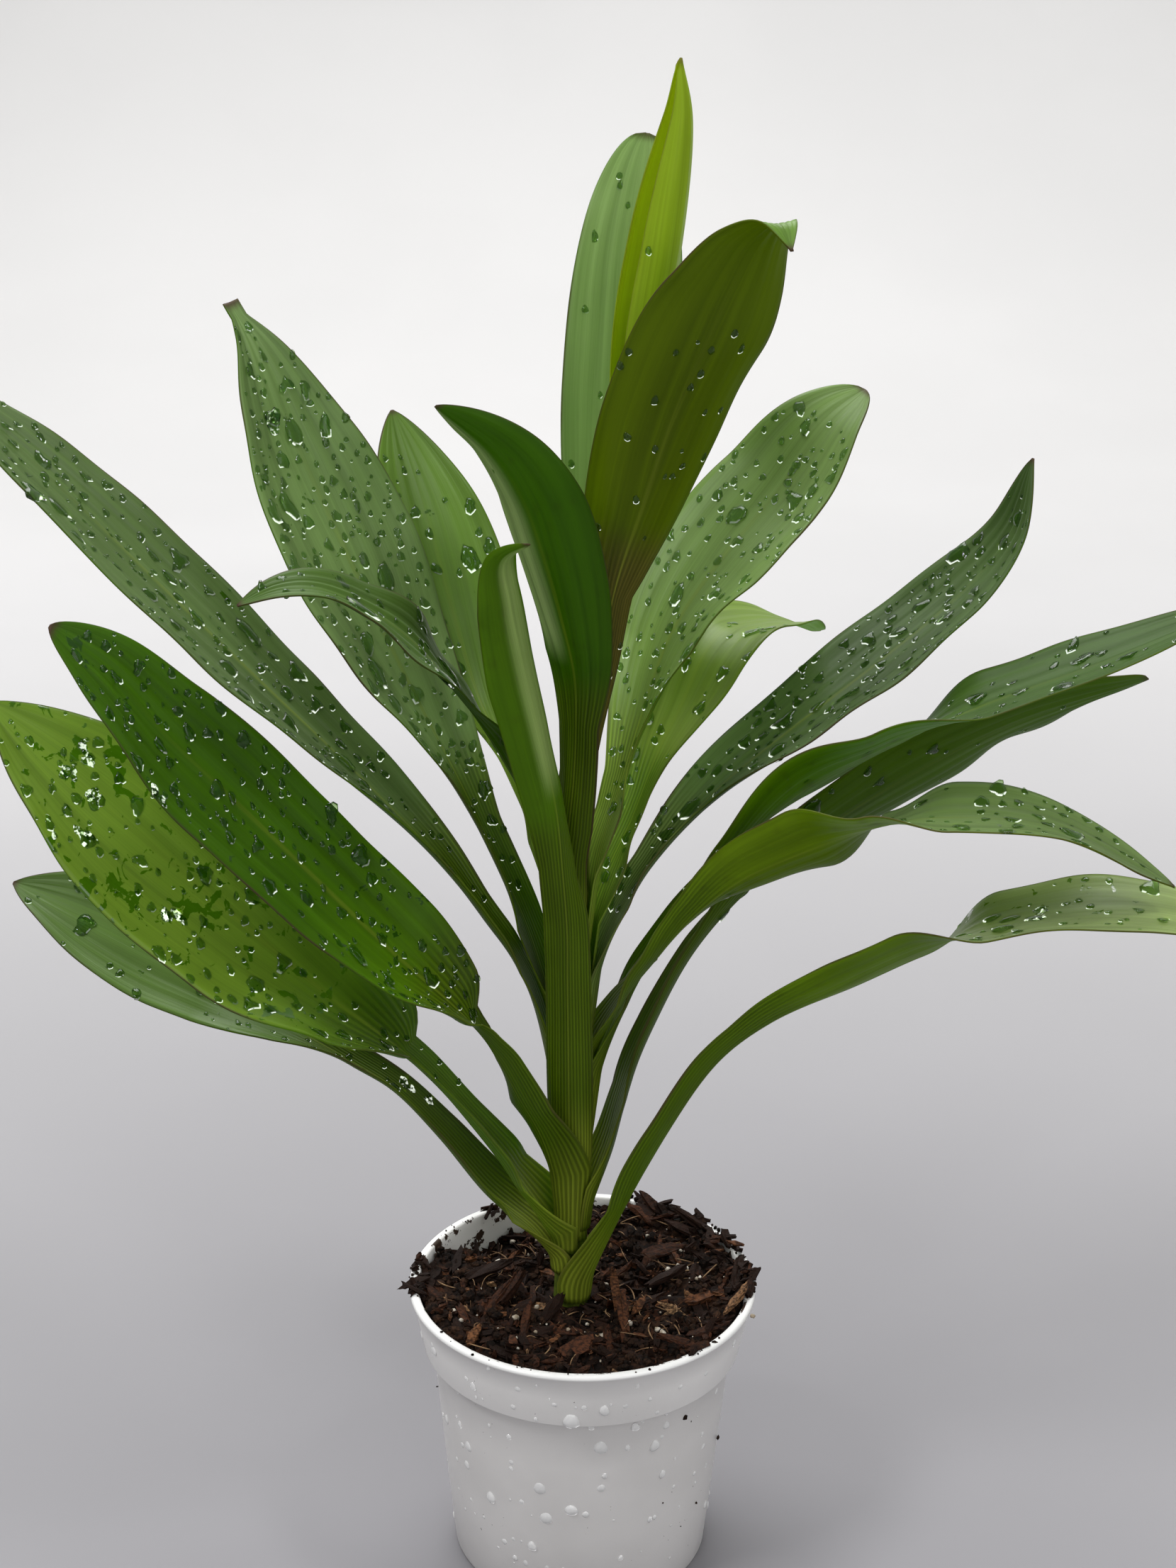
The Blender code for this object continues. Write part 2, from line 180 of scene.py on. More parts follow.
def maths(operation, a, b=0.0):
    return addNode(treeOf(a, b), "ShaderNodeMath", {0: a, 1: b}, operation=operation).outputs[0]


def plus(a, b):
    return maths("ADD", a, b)


def minus(a, b):
    return maths("SUBTRACT", a, b)


def times(a, b):
    return maths("MULTIPLY", a, b)


def ramp(value, low, high, start=0.0, end=1.0):
    inputs = {"Value": value, "From Min": low, "From Max": high, "To Min": start, "To Max": end}
    return addNode(value.id_data, "ShaderNodeMapRange", inputs, interpolation_type="SMOOTHSTEP").outputs[0]


def mixed(factor, a, b, blend="MIX"):
    a, b = (c if isinstance(c, bpy.types.NodeSocket) else (*c[:3], 1.0) for c in (a, b))
    inputs = {0: factor, 6: a, 7: b}
    return addNode(treeOf(factor, a, b), "ShaderNodeMix", inputs, data_type="RGBA", blend_type=blend).outputs[2]


def noisy(vector, scale, detail=2.0, rough=0.5, distortion=0.0):
    inputs = {"Vector": vector, "Scale": scale, "Detail": detail, "Roughness": rough, "Distortion": distortion}
    return addNode(vector.id_data, "ShaderNodeTexNoise", inputs).outputs[0]


def stretched(place, x, y, z):
    return addNode(place.id_data, "ShaderNodeMapping", {0: place, 3: (x, y, z)}).outputs[0]


def joined(x, y, z):
    return addNode(treeOf(x, y, z), "ShaderNodeCombineXYZ", {0: x, 1: y, 2: z}).outputs[0]


def lengthOf(vector):
    return addNode(vector.id_data, "ShaderNodeVectorMath", {0: vector}, operation="LENGTH").outputs["Value"]


def objectPlace(tree):
    return addNode(tree, "ShaderNodeTexCoord").outputs["Object"]


def attribute(tree, name):
    return addNode(tree, "ShaderNodeAttribute", attribute_name=name).outputs["Fac"]


def newGroup(name, colours, numbers, outputs):
    tree = bpy.data.node_groups.new(name, "ShaderNodeTree")
    for kind, given in (("NodeSocketColor", colours), ("NodeSocketFloat", numbers)):
        for label, value in given.items():
            socket = tree.interface.new_socket(label, in_out="INPUT", socket_type=kind)
            socket.default_value = (*value, 1.0) if kind == "NodeSocketColor" else value
    for label in outputs:
        kind = "NodeSocketColor" if label == "Colour" else "NodeSocketFloat"
        tree.interface.new_socket(label, in_out="OUTPUT", socket_type=kind)
    return tree, tree.nodes.new("NodeGroupInput").outputs, tree.nodes.new("NodeGroupOutput").inputs


def addPattern(tree, group, colours, numbers):
    pattern = addNode(tree, "ShaderNodeGroup", node_tree=group)
    for key, value in colours.items():
        pattern.inputs[key].default_value = (*value, 1.0)
    for key, value in numbers.items():
        pattern.inputs[key].default_value = value
    return pattern.outputs


def newMaterial(name, roughness=0.5, specular=0.5):
    material = bpy.data.materials.new(name)
    material.use_nodes = True
    shader = material.node_tree.nodes["Principled BSDF"]
    shader.inputs["Roughness"].default_value = roughness
    shader.inputs["Specular IOR Level"].default_value = specular
    return material, material.node_tree, shader.inputs


def feed(source, target):
    source.id_data.links.new(source, target)


def bumped(inputs, height, strength, depth):
    bump = addNode(height.id_data, "ShaderNodeBump", {"Height": height, "Strength": strength, "Distance": depth})
    feed(bump.outputs[0], inputs["Normal"])


# the room: a floor that turns up into a backdrop, with painted shade that darkens it towards the plant, and soft light

studio = dict(wallColour=(0.82, 0.815, 0.81), paintedShadeColour=(0.235, 0.23, 0.245), shadeReach=(-0.2, 2.1), world=0.32,
              front=-5.0, wall=2.6, bend=1.2, wallTop=4.0, wide=9.0, steps=24)
lamps = [  # name, place, aim, size in metres, power in watts
    ("wallPanel", (0, 1.5, 2.7), (0, 2.5, 0.3), 1.8, 22),
    ("skyPanel", (-0.25, 0.8, 1.6), (0, 0, 0.3), 1.1, 22),
    ("windowPanel", (-0.95, -0.65, 1.7), (0, 0, 0.25), 0.45, 15),
    ("stripPanel", (0.8, -0.3, 1.75), (0, 0, 0.25), 0.3, 7),
    ("frontPanel", (0.9, -1.6, 1.3), (0, 0, 0.25), 1.4, 11),
]


def buildStudio():
    material, tree, shader = newMaterial("floorWithPaintedShade", roughness=0.7, specular=0.2)
    place = objectPlace(tree)
    # painted shade: the floor is dark near the plant and pales with distance up into the backdrop
    pale = mixed(ramp(lengthOf(place), *studio["shadeReach"]), studio["paintedShadeColour"], studio["wallColour"])
    shade = mixed(ramp(noisy(place, 3.0, 3.0), 0.35, 0.65), (0.97, 0.97, 0.97), (1, 1, 1))
    feed(mixed(1.0, pale, shade, "MULTIPLY"), shader["Base Color"])
    bm = bmesh.new()
    steps, bend, flat = studio["steps"], studio["bend"], studio["wall"] - studio["bend"]
    bmesh.ops.create_grid(bm, x_segments=1, y_segments=steps, size=1.0)
    for v in bm.verts:
        step = round((v.co.y + 1) / 2 * steps)
        turn = math.radians(90) * within((step - 2) / (steps - 4), 0, 1)
        y, z = flat + bend * math.sin(turn), bend * (1 - math.cos(turn))
        if step < 2:
            y = studio["front"] + step * (flat - studio["front"]) / 2
        if step > steps - 2:
            z += (step - steps + 2) * (studio["wallTop"] - bend) / 2
        v.co = (v.co.x * studio["wide"], y, z)
    backdrop = addMesh("backdrop", bm, [material])

    world = bpy.data.worlds.new("softSky")
    world.use_nodes = True
    background = world.node_tree.nodes["Background"]
    background.inputs[0].default_value = (1.0, 0.99, 0.98, 1.0)
    background.inputs[1].default_value = studio["world"]
    bpy.context.scene.world = world
    for name, place, aim, size, power in lamps:
        data = bpy.data.lights.new(name, "AREA")
        data.size = size
        data.energy = power
        light = addObject(name, data)
        light.location = place
        light.rotation_euler = (Vector(aim) - Vector(place)).to_track_quat("-Z", "Y").to_euler()
    bpy.context.scene.view_settings.view_transform = "Standard"


buildStudio()
print("studio set")


# pot: outer radii and heights in millimetres

pot = dict(height=103.0, foot=44.6, chamfer=1.2, bodyTop=52.0, collarBottom=80.4, collarRadius=55.0,
           rim=60.0, lip=3.2, lipDrop=1.6, wall=1.6, floor=2.0, sides=180, collarMiddle=54.1, collarTaper=0.17)


def wallRadius(z):
    # inner radius of the pot at a height
    low, top = pot["collarBottom"], pot["height"]
    if z >= low + pot["wall"]:
        inner = pot["collarRadius"] - pot["wall"]
        return inner + (z - low) / (top - low) * (pot["rim"] - pot["lip"] - inner)
    return pot["foot"] - pot["wall"] + z / low * (pot["bodyTop"] - pot["foot"])


def outerRadius(z):
    low, top = pot["collarBottom"], pot["height"]
    if z >= low:
        return pot["collarRadius"] + (z - low) / (top - low) * (pot["rim"] - 0.7 - pot["collarRadius"])
    return pot["foot"] + z / low * (pot["bodyTop"] - pot["foot"])


def potMaterial():
    # white plastic, with painted light that makes the collar and inner wall brighter, lighter at the lip, with specks
    # and a patch of mud
    material, tree, shader = newMaterial("whitePlastic", roughness=0.32, specular=0.45)
    place = objectPlace(tree)
    height = addNode(tree, "ShaderNodeSeparateXYZ", {0: place}).outputs[2]
    level = addNode(tree, "ShaderNodeVectorMath", {0: place, 1: (1, 1, 0)}, operation="MULTIPLY").outputs[0]
    taper = pot["collarTaper"]
    midWall = plus(times(height, taper), (pot["collarMiddle"] - taper * pot["collarBottom"]) * mm)
    inner = times(maths("LESS_THAN", lengthOf(level), midWall), ramp(height, 0.0825, 0.083))
    tone = mixed(ramp(noisy(place, 28.0, 3.0), 0.3, 0.7), (0.70, 0.685, 0.675), (0.76, 0.745, 0.735))
    # painted light: the collar is lighter, as if it caught more light than the body
    tone = mixed(times(ramp(height, 0.0803, 0.0808), 0.45), tone, (0.90, 0.89, 0.88))
    tone = mixed(ramp(height, 0.1012, 0.1022), tone, (0.88, 0.88, 0.87))
    # painted light: the inner wall is lighter, against the shade that falls inside the pot
    tone = mixed(inner, tone, (0.93, 0.92, 0.90))
    specks = times(ramp(noisy(place, 620.0, 2.0, 0.6), 0.735, 0.755), ramp(noisy(place, 45.0, 1.0), 0.5, 0.62))
    wallMud = times(ramp(noisy(place, 160.0, 4.0, 0.62), 0.56, 0.58), inner)
    feed(mixed(maths("MAXIMUM", specks, wallMud), tone, (0.045, 0.026, 0.016)), shader["Base Color"])
    streaks = noisy(stretched(place, 1.0, 1.0, 0.12), 120.0, 2.0)
    feed(ramp(streaks, 0.3, 0.75, 0.30, 0.38), shader["Roughness"])
    bumped(shader, noisy(place, 900.0, 2.0), 0.12, 0.0002)
    return material


def buildPot():
    top, foot, rim, lip = pot["height"], pot["foot"], pot["rim"], pot["lip"]
    low, body, collar = pot["collarBottom"], pot["bodyTop"], pot["collarRadius"]
    floor, inner, shelf = pot["floor"], wallRadius(pot["floor"]), low + pot["wall"]
    profile = [
        (0.0, 0.0), (foot - 6.0, 0.0), (foot - pot["chamfer"], 0.0), (foot - 0.35, 0.35), (foot, pot["chamfer"]),
        (outerRadius(30.0), 30.0), (outerRadius(60.0), 60.0), (body - 0.1, low - 0.5), (body + 0.35, low),
        (collar - 0.6, low), (collar - 0.18, low + 0.18), (collar, low + 0.6), (outerRadius(92.0), 92.0),
        (outerRadius(top - 2.4), top - 2.4), (rim - 0.55, top - 1.9), (rim, top - 1.3), (rim, top - 0.7),
        (rim - 0.35, top - 0.2), (rim - 0.9, top), (rim - 2.2, top), (rim - lip + 0.35, top - 0.2),
        (rim - lip, top - 0.8), (wallRadius(top - 3.0), top - 3.0), (wallRadius(shelf), shelf),
        (wallRadius(low), low), (inner, floor + 1.0), (inner - 1.0, floor), (0.0, floor),
    ]
    newPiece("potShell", spun(profile, pot["sides"]), [potMaterial()], replaces="pot", sharp=50)


def onPot(px, py):
    # the spot on the outside of the pot that a pixel shows, and the way its wall faces
    sight = pixelRay(px, py)
    nearest, farthest, tries = 0.5, 0.95, 400
    for i in range(tries):
        spot = eye + sight * (nearest + (farthest - nearest) * i / tries)
        if 0 < spot.z < pot["height"] * mm and math.hypot(spot.x, spot.y) < outerRadius(spot.z / mm) * mm:
            break
    return spot, wallFacing(Vector((spot.x, spot.y, 0)).normalized())


def wallFacing(away):
    return (away - Vector((0, 0, 0.09))).normalized()


buildPot()
print("pot built")


# soil: a closed bed, then bark, crumbs, fibres and light grains lying on it

soil = dict(level=95.8, rise=4.5, roughness=1.3, holeDepth=36.0, hollowAngle=128.0, hollowWidth=40.0,
            hollowDepth=12.0, hollowStart=22.0, hollowRun=20.0, caneGap=9.0, riseRun=34.0, roughRun=6.0,
            rings=56, sides=150)
cane = dict(x=-4.0, foot=97.0, radius=6.0, tipRadius=1.6, length=160.0, scars=19, scarGap=8.5, sides=40)


def soilHeight(x, y):
    fromCane = math.hypot(x - cane["x"], y)
    angle = math.degrees(math.atan2(y, x))
    rise = soil["rise"] * ease((fromCane - soil["caneGap"]) / soil["riseRun"])
    lumps = math.sin(0.19 * x + 1.3) * math.cos(0.16 * y - 0.4) + 0.6 * math.sin(0.31 * y + 0.22 * x)
    away = abs((angle - soil["hollowAngle"] + 180.0) % 360.0 - 180.0)
    outward = ease((fromCane - soil["hollowStart"]) / soil["hollowRun"])
    hollow = soil["hollowDepth"] * (1 - ease(away / soil["hollowWidth"])) * outward
    near = ease((fromCane - soil["caneGap"]) / soil["roughRun"])
    height = soil["level"] + rise + soil["roughness"] * lumps * near - hollow
    spot = Vector((x * 0.16, y * 0.16, 3.7))
    height += near * (1.5 * noise.fractal(spot, 0.7, 2.1, 4) + 0.8 * noise.noise(spot * 3.1))
    return float(height)


def earthGroup():
    # colour of dark damp mix: browns that change from lump to lump
    tree, given, out = newGroup("earthPattern", dict(Dark=(0.01, 0.006, 0.004), Light=(0.06, 0.03, 0.016)),
                                dict(Grain=600.0), ["Colour", "Height"])
    place = objectPlace(tree)
    grain = noisy(place, given["Grain"], 3.0, 0.7)
    share = plus(times(noisy(place, 140.0, 3.0, 0.6), 0.6), times(grain, 0.5))
    feed(mixed(ramp(share, 0.46, 0.74), given["Dark"], given["Light"]), out["Colour"])
    feed(grain, out["Height"])
    return tree


barkTones = [(0.0, (0.006, 0.003, 0.002)), (0.42, (0.022, 0.009, 0.005)), (0.72, (0.085, 0.030, 0.013)),
             (0.92, (0.20, 0.085, 0.035)), (1.0, (0.36, 0.22, 0.11))]


def earthMaterial(name, group, dark, light, grain, bark=False, roughness=0.85):
    material, tree, shader = newMaterial(name, roughness=roughness, specular=0.12)
    pattern = addPattern(tree, group, dict(Dark=dark, Light=light), dict(Grain=grain))
    colour = pattern["Colour"]
    if bark:  # each chip has its own tone between black-brown and tan
        chip = addNode(tree, "ShaderNodeValToRGB", {0: attribute(tree, "tone")})
        while len(chip.color_ramp.elements) < len(barkTones):
            chip.color_ramp.elements.new(0.5)
        for element, (spot, rgb) in zip(chip.color_ramp.elements, barkTones):
            element.position = spot
            element.color = (*rgb, 1.0)
        colour = mixed(0.85, mixed(0.5, chip.outputs[0], colour), chip.outputs[0])
        streak = noisy(stretched(objectPlace(tree), 1, 1, 3), 700, 3)
        colour = mixed(ramp(streak, 0.35, 0.65, 0.85, 0.0), colour, (0.012, 0.006, 0.004))
    feed(colour, shader["Base Color"])
    bumped(shader, pattern["Height"], 0.7, 0.0006)
    return material


def buildSoil(group):
    material = earthMaterial("dampEarth", group, (0.004, 0.0022, 0.0015), (0.034, 0.015, 0.008), 520.0)
    hole, outer = cane["radius"] + 0.5, wallRadius(pot["height"] - pot["lipDrop"]) - 1.0
    deep, bottom, sides = soil["level"] - soil["holeDepth"], pot["floor"] + 0.3, soil["sides"]
    # rings from the cane's hole over the top and down the wall: a share of the top, or middle, radius and height
    rings = [(cane["x"], 0.0, deep), (cane["x"], hole, deep)] + [i / soil["rings"] for i in range(soil["rings"] + 1)]
    rings += [(0.0, wallRadius(z) - 0.6, z)
              for z in (pot["collarBottom"] + pot["wall"], pot["collarBottom"], bottom + 1.2)]
    rings += [(0.0, wallRadius(bottom) - 2.0, bottom), (0.0, 0.0, bottom)]
    bm = bmesh.new()
    bmesh.ops.create_grid(bm, x_segments=sides, y_segments=len(rings) - 1, size=1.0)
    for v in bm.verts:
        angle = fullTurn * (round((v.co.x + 1) / 2 * sides) % sides) / sides
        ring = rings[round((v.co.y + 1) / 2 * (len(rings) - 1))]
        c, s = math.cos(angle), math.sin(angle)
        if isinstance(ring, tuple):
            middle, reach, z = ring
            x, y = middle + reach * c, reach * s
        else:
            x = (1 - ring) * (cane["x"] + hole * c) + ring * outer * c
            y = (1 - ring) * hole * s + ring * outer * s
            z = soilHeight(x, y)
            limit, radius = wallRadius(z) - 0.7, math.hypot(x, y)
            if ring == 1.0:
                reach = min(outer, wallRadius(z - 2.0) - 0.7)
                x, y, z = reach * c, reach * s, z - 1.0
            elif radius > limit:
                x, y = x * limit / radius, y * limit / radius
        v.co = (x * mm, y * mm, z * mm)
    bmesh.ops.remove_doubles(bm, verts=bm.verts, dist=0.05 * mm)
    bmesh.ops.recalc_face_normals(bm, faces=bm.faces)
    newPiece("soilBed", bm, [material], replaces="soil")


litter = dict(chips=700, crumbs=2600, fibres=120, grains=120, reach=54.6, lipStart=56, caneGap=9.5,
              longestChip=13.0, widestChip=3.4, largestCrumb=2.2, wallRing=(52.5, 59.3))


def onSoil(rng, reach):
    # an even random spot on the soil, clear of the cane
    while True:
        radius, angle = reach * math.sqrt(rng.random()), rng.uniform(0, fullTurn)
        x, y = radius * math.cos(angle), radius * math.sin(angle)
        if math.hypot(x - cane["x"], y) > litter["caneGap"]:
            return x, y


def byWall(rng, sector, ring):
    # a random spot at the pot's wall, or up on its lip
    angle, radius = math.radians(rng.uniform(*sector)), rng.uniform(*ring)
    x, y = radius * math.cos(angle), radius * math.sin(angle)
    return angle, x, y, max(soilHeight(x, y), pot["height"] if radius > litter["lipStart"] else 0)


def soilPixel(px, py, lift=0):
    # where a pixel meets the soil's upper level
    sight = pixelRay(px, py)
    spot = eye + sight * ((eye.z - (soil["level"] + soil["rise"] + lift) * mm) / -sight.z)
    return spot.x / mm, spot.y / mm


def addChip(bm, rng, x, y, z, length, width, thick, turn, tilt, bank, tone, cuts=1):
    # one splinter of bark: a box cut once and pulled out of true, pointed at the ends
    one = bmesh.new()
    bmesh.ops.create_cube(one, size=1.0)
    bmesh.ops.subdivide_edges(one, edges=one.edges[:], cuts=cuts, use_grid_fill=True)
    place = (Matrix.Translation((x * mm, y * mm, z * mm)) @ Matrix.Rotation(turn, 4, "Z")
             @ Matrix.Rotation(tilt, 4, "Y") @ Matrix.Rotation(bank, 4, "X"))
    skew = rng.uniform(-0.35, 0.35)
    ends = (rng.uniform(0.1, 0.7), rng.uniform(0.1, 0.8))
    for v in one.verts:
        a, b, c = v.co * 2
        narrow = 1 - (ends[0] if a < 0 else ends[1]) * a * a
        a += skew * b + rng.uniform(-0.24, 0.24)
        b = b * narrow + rng.uniform(-0.26, 0.26)
        c = c * (0.4 + 0.6 * narrow) + rng.uniform(-0.4, 0.4)
        v.co = place @ Vector((a * length / 2 * mm, b * width / 2 * mm, c * thick / 2 * mm))
    joinShape(bm, one, tone)


def addLump(bm, rng, x, y, z, size, tone, subdivisions=1):
    one = bmesh.new()
    bmesh.ops.create_icosphere(one, subdivisions=subdivisions, radius=1.0)
    stretch = [rng.uniform(0.55, 1.2) for _ in range(3)]
    for v in one.verts:
        bulge = rng.uniform(0.75, 1.25)
        v.co = Vector([at + c * k * bulge * size for at, c, k in zip((x, y, z), v.co, stretch)]) * mm
    joinShape(bm, one, tone)


# larger pieces of bark seen one by one: pixel, length, width, turn, tilt, tone
bigChips = [
    (868, 1832, 17, 4, 100, 48, 0.82), (1040, 1848, 14, 5, 62, 12, 0.95), (812, 1912, 13, 9, 15, 20, 0.72),
    (930, 1770, 18, 7, 8, 10, 0.56), (905, 1720, 16, 5, 140, 18, 0.66), (962, 1742, 14, 5, 160, 16, 0.42),
    (985, 1838, 13, 5, 20, 10, 0.78), (880, 1862, 18, 5, 96, 20, 0.74), (940, 1812, 16, 7, 30, 14, 0.3),
    (700, 1838, 17, 5, 48, 26, 0.62), (655, 1862, 12, 4, 115, 14, 0.66), (668, 1897, 8, 5, 50, 25, 0.92),
    (722, 1820, 15, 4, 52, 30, 0.5), (610, 1828, 12, 5, 130, 10, 0.55), (760, 1895, 14, 5, 170, 10, 0.5),
    (780, 1845, 15, 6, 60, 22, 0.3), (960, 1905, 13, 5, 160, 12, 0.6), (1000, 1880, 16, 5, 25, 8, 0.5),
    (900, 1850, 8, 4, 60, 30, 0.85), (1062, 1800, 14, 5, 80, 20, 0.3), (1010, 1718, 14, 4, 150, 22, 0.4),
    (935, 1700, 13, 5, 130, 30, 0.5), (742, 1868, 12, 4, 80, 30, 0.66), (690, 1800, 18, 6, 30, 8, 0.16),
]
# bark and crumbs against the wall and on the lip: degrees from, to, how many, and for bark how high
wallChips = [(168, 190, 26, 1.6), (-8, 34, 44, 2.2), (36, 74, 26, 1.2), (-52, -44, 6, 0.6), (112, 128, 8, 0.4)]
wallCrumbs = [(166, 192, 60), (-10, 36, 95), (36, 76, 50), (-54, -42, 14), (100, 150, 16), (192, 330, 22)]
# specks stuck to the outside of the pot: pixel and size
potSpecks = [
    (965, 1999, 1.3), (975, 2005, 0.4), (1013, 2028, 1.0), (982, 2120, 0.6), (922, 2120, 0.35), (935, 2120, 0.5),
    (942, 2172, 0.6), (936, 2166, 0.4), (960, 2153, 0.35), (968, 2137, 0.3), (886, 2190, 0.4), (893, 2186, 0.35),
    (617, 1956, 0.5), (990, 1905, 0.4), (1008, 1895, 1.2),
]
# light grains seen one by one: pixel and size
bigGrains = [
    (945, 1800, 1.7), (942, 1790, 1.2), (957, 1783, 1.3), (640, 1848, 1.3), (935, 1882, 1.7), (888, 1864, 1.0),
    (850, 1880, 1.1), (727, 1855, 1.2), (720, 1882, 0.8), (1062, 1855, 1.0),
]


def buildBark(rng, group):
    bark = earthMaterial("barkChips", group, (0.007, 0.003, 0.002), (0.11, 0.042, 0.018), 900.0, True, 0.7)
    bm = gathering("tone")
    for px, py, length, width, turn, tilt, shade in bigChips:
        x, y = soilPixel(px, py)
        radius = math.hypot(x, y)
        if radius > litter["reach"]:
            x, y = x * litter["reach"] / radius, y * litter["reach"] / radius
        z = soilHeight(x, y) + 0.5 + length * 0.5 * math.sin(math.radians(tilt))
        addChip(bm, rng, x, y, z, length * 0.85, width * 0.66, rng.uniform(1.4, 2.6), math.radians(turn),
                -math.radians(tilt), rng.uniform(-0.4, 0.4), shade, cuts=2)
    for _ in range(litter["chips"]):
        length = min(2.4 + rng.expovariate(0.36), litter["longestChip"])
        x, y = onSoil(rng, litter["reach"] - length * 0.25)
        width = min(length * rng.uniform(0.12, 0.5), litter["widestChip"])
        addChip(bm, rng, x, y, soilHeight(x, y) + rng.uniform(0.1, 1.4), length, width, rng.uniform(0.7, 2.0),
                rng.uniform(0, fullTurn), rng.gauss(0, 0.42), rng.uniform(-0.8, 0.8),
                within(rng.gauss(0.42, 0.26), 0.0, 0.98))
    for low, high, count, lift in wallChips:
        for _ in range(count):
            angle, x, y, base = byWall(rng, (low, high), litter["wallRing"])
            length = rng.uniform(3.0, 9.0)
            addChip(bm, rng, x, y, base + rng.uniform(0.2, lift), length, length * rng.uniform(0.2, 0.5),
                    rng.uniform(0.8, 1.8), angle + math.pi / 2 + rng.gauss(0, 0.6), rng.gauss(0, 0.35),
                    rng.uniform(-0.6, 0.6), within(rng.gauss(0.3, 0.15), 0.0, 0.8))
    bmesh.ops.recalc_face_normals(bm, faces=bm.faces)
    newPiece("soilBark", bm, [bark], smooth=False)


def buildCrumbs(rng, group):
    crumbly = earthMaterial("earthCrumbs", group, (0.005, 0.003, 0.002), (0.05, 0.024, 0.013), 800.0)
    bm, tone = gathering("tone"), 0.2
    for _ in range(litter["crumbs"]):
        x, y = onSoil(rng, litter["reach"] + 0.6)
        size = 0.4 + rng.expovariate(1.5)
        addLump(bm, rng, x, y, soilHeight(x, y) + rng.uniform(-0.2, 0.7) * min(size, 1.6),
                min(size, litter["largestCrumb"]), tone)
    for low, high, count in wallCrumbs:
        ring, sizes = ((53.0, 60.0), (0.3, 1.5)) if count > 30 else ((55.5, 59.5), (0.2, 0.6))
        for _ in range(count):
            _, x, y, base = byWall(rng, (low, high), ring)
            size = rng.uniform(*sizes)
            addLump(bm, rng, x, y, base + size * 0.3, size, tone)
    for px, py, size in potSpecks:
        spot = onPot(px, py)[0] / mm
        addLump(bm, rng, *spot, size, tone)
    newPiece("soilCrumbs", bm, [crumbly], smooth=False)


def buildFibres(rng):
    material, tree, shader = newMaterial("dryFibre", roughness=0.8, specular=0.2)
    strands = ramp(noisy(objectPlace(tree), 300.0, 2.0), 0.3, 0.7)
    feed(mixed(strands, (0.10, 0.05, 0.025), (0.30, 0.19, 0.10)), shader["Base Color"])
    bm = gathering()
    for _ in range(litter["fibres"]):
        x, y = onSoil(rng, litter["reach"] - 3)
        length, turn, bow = rng.uniform(4, 12), rng.uniform(0, math.pi), rng.uniform(-2, 2)
        rise, thick = rng.uniform(0.2, 2.2), rng.uniform(0.13, 0.3)
        one = bmesh.new()
        bmesh.ops.create_uvsphere(one, u_segments=4, v_segments=7, radius=1.0)
        spin = Matrix.Translation((x * mm, y * mm, (soilHeight(x, y) + 0.5) * mm)) @ Matrix.Rotation(turn, 4, "Z")
        for v in one.verts:  # a long thin spindle, bowed
            share = math.asin(within(v.co.z, -1, 1)) / math.pi + 0.5
            girth = math.hypot(v.co.x, v.co.y)
            girth = girth ** 0.4 / max(girth, 1e-6)
            v.co = spin @ (Vector((share * length, bow * math.sin(math.pi * share) + v.co.x * girth * thick,
                                   rise * math.sin(math.pi * share * 0.8) + v.co.y * girth * thick)) * mm)
        joinShape(bm, one)
    bmesh.ops.recalc_face_normals(bm, faces=bm.faces)
    newPiece("soilFibres", bm, [material])


def buildGrains(rng):
    material, tree, shader = newMaterial("lightGrains", roughness=0.6, specular=0.3)
    spots = noisy(objectPlace(tree), 420.0, 3.0)
    feed(mixed(ramp(spots, 0.35, 0.65), (0.30, 0.24, 0.17), (0.62, 0.58, 0.50)), shader["Base Color"])
    bumped(shader, spots, 0.4, 0.0003)
    bm, tone = gathering("tone"), 0.5
    for _ in range(litter["grains"]):
        x, y = onSoil(rng, litter["reach"] - 2)
        size = min(0.22 + rng.expovariate(3.2), 1.3)
        addLump(bm, rng, x, y, soilHeight(x, y) + 0.9 + size * 0.5, size, tone)
    for px, py, size in bigGrains:
        x, y = soilPixel(px, py, lift=2)
        addLump(bm, rng, x, y, soilHeight(x, y) + 1.3, size, tone, subdivisions=2)
    newPiece("soilGrains", bm, [material])


def buildLitter(group):
    rng = random.Random(31)
    buildBark(rng, group)
    buildCrumbs(rng, group)
    buildFibres(rng)
    buildGrains(rng)


earth = earthGroup()
buildSoil(earth)
buildLitter(earth)
print("soil built")


# cane: the short stem under the leaf bases, ringed by old leaf scars

def caneRadius(z):
    share = np.clip((z - cane["foot"]) / cane["length"], 0.0, 1.0)
    return cane["radius"] - (cane["radius"] - cane["tipRadius"]) * share


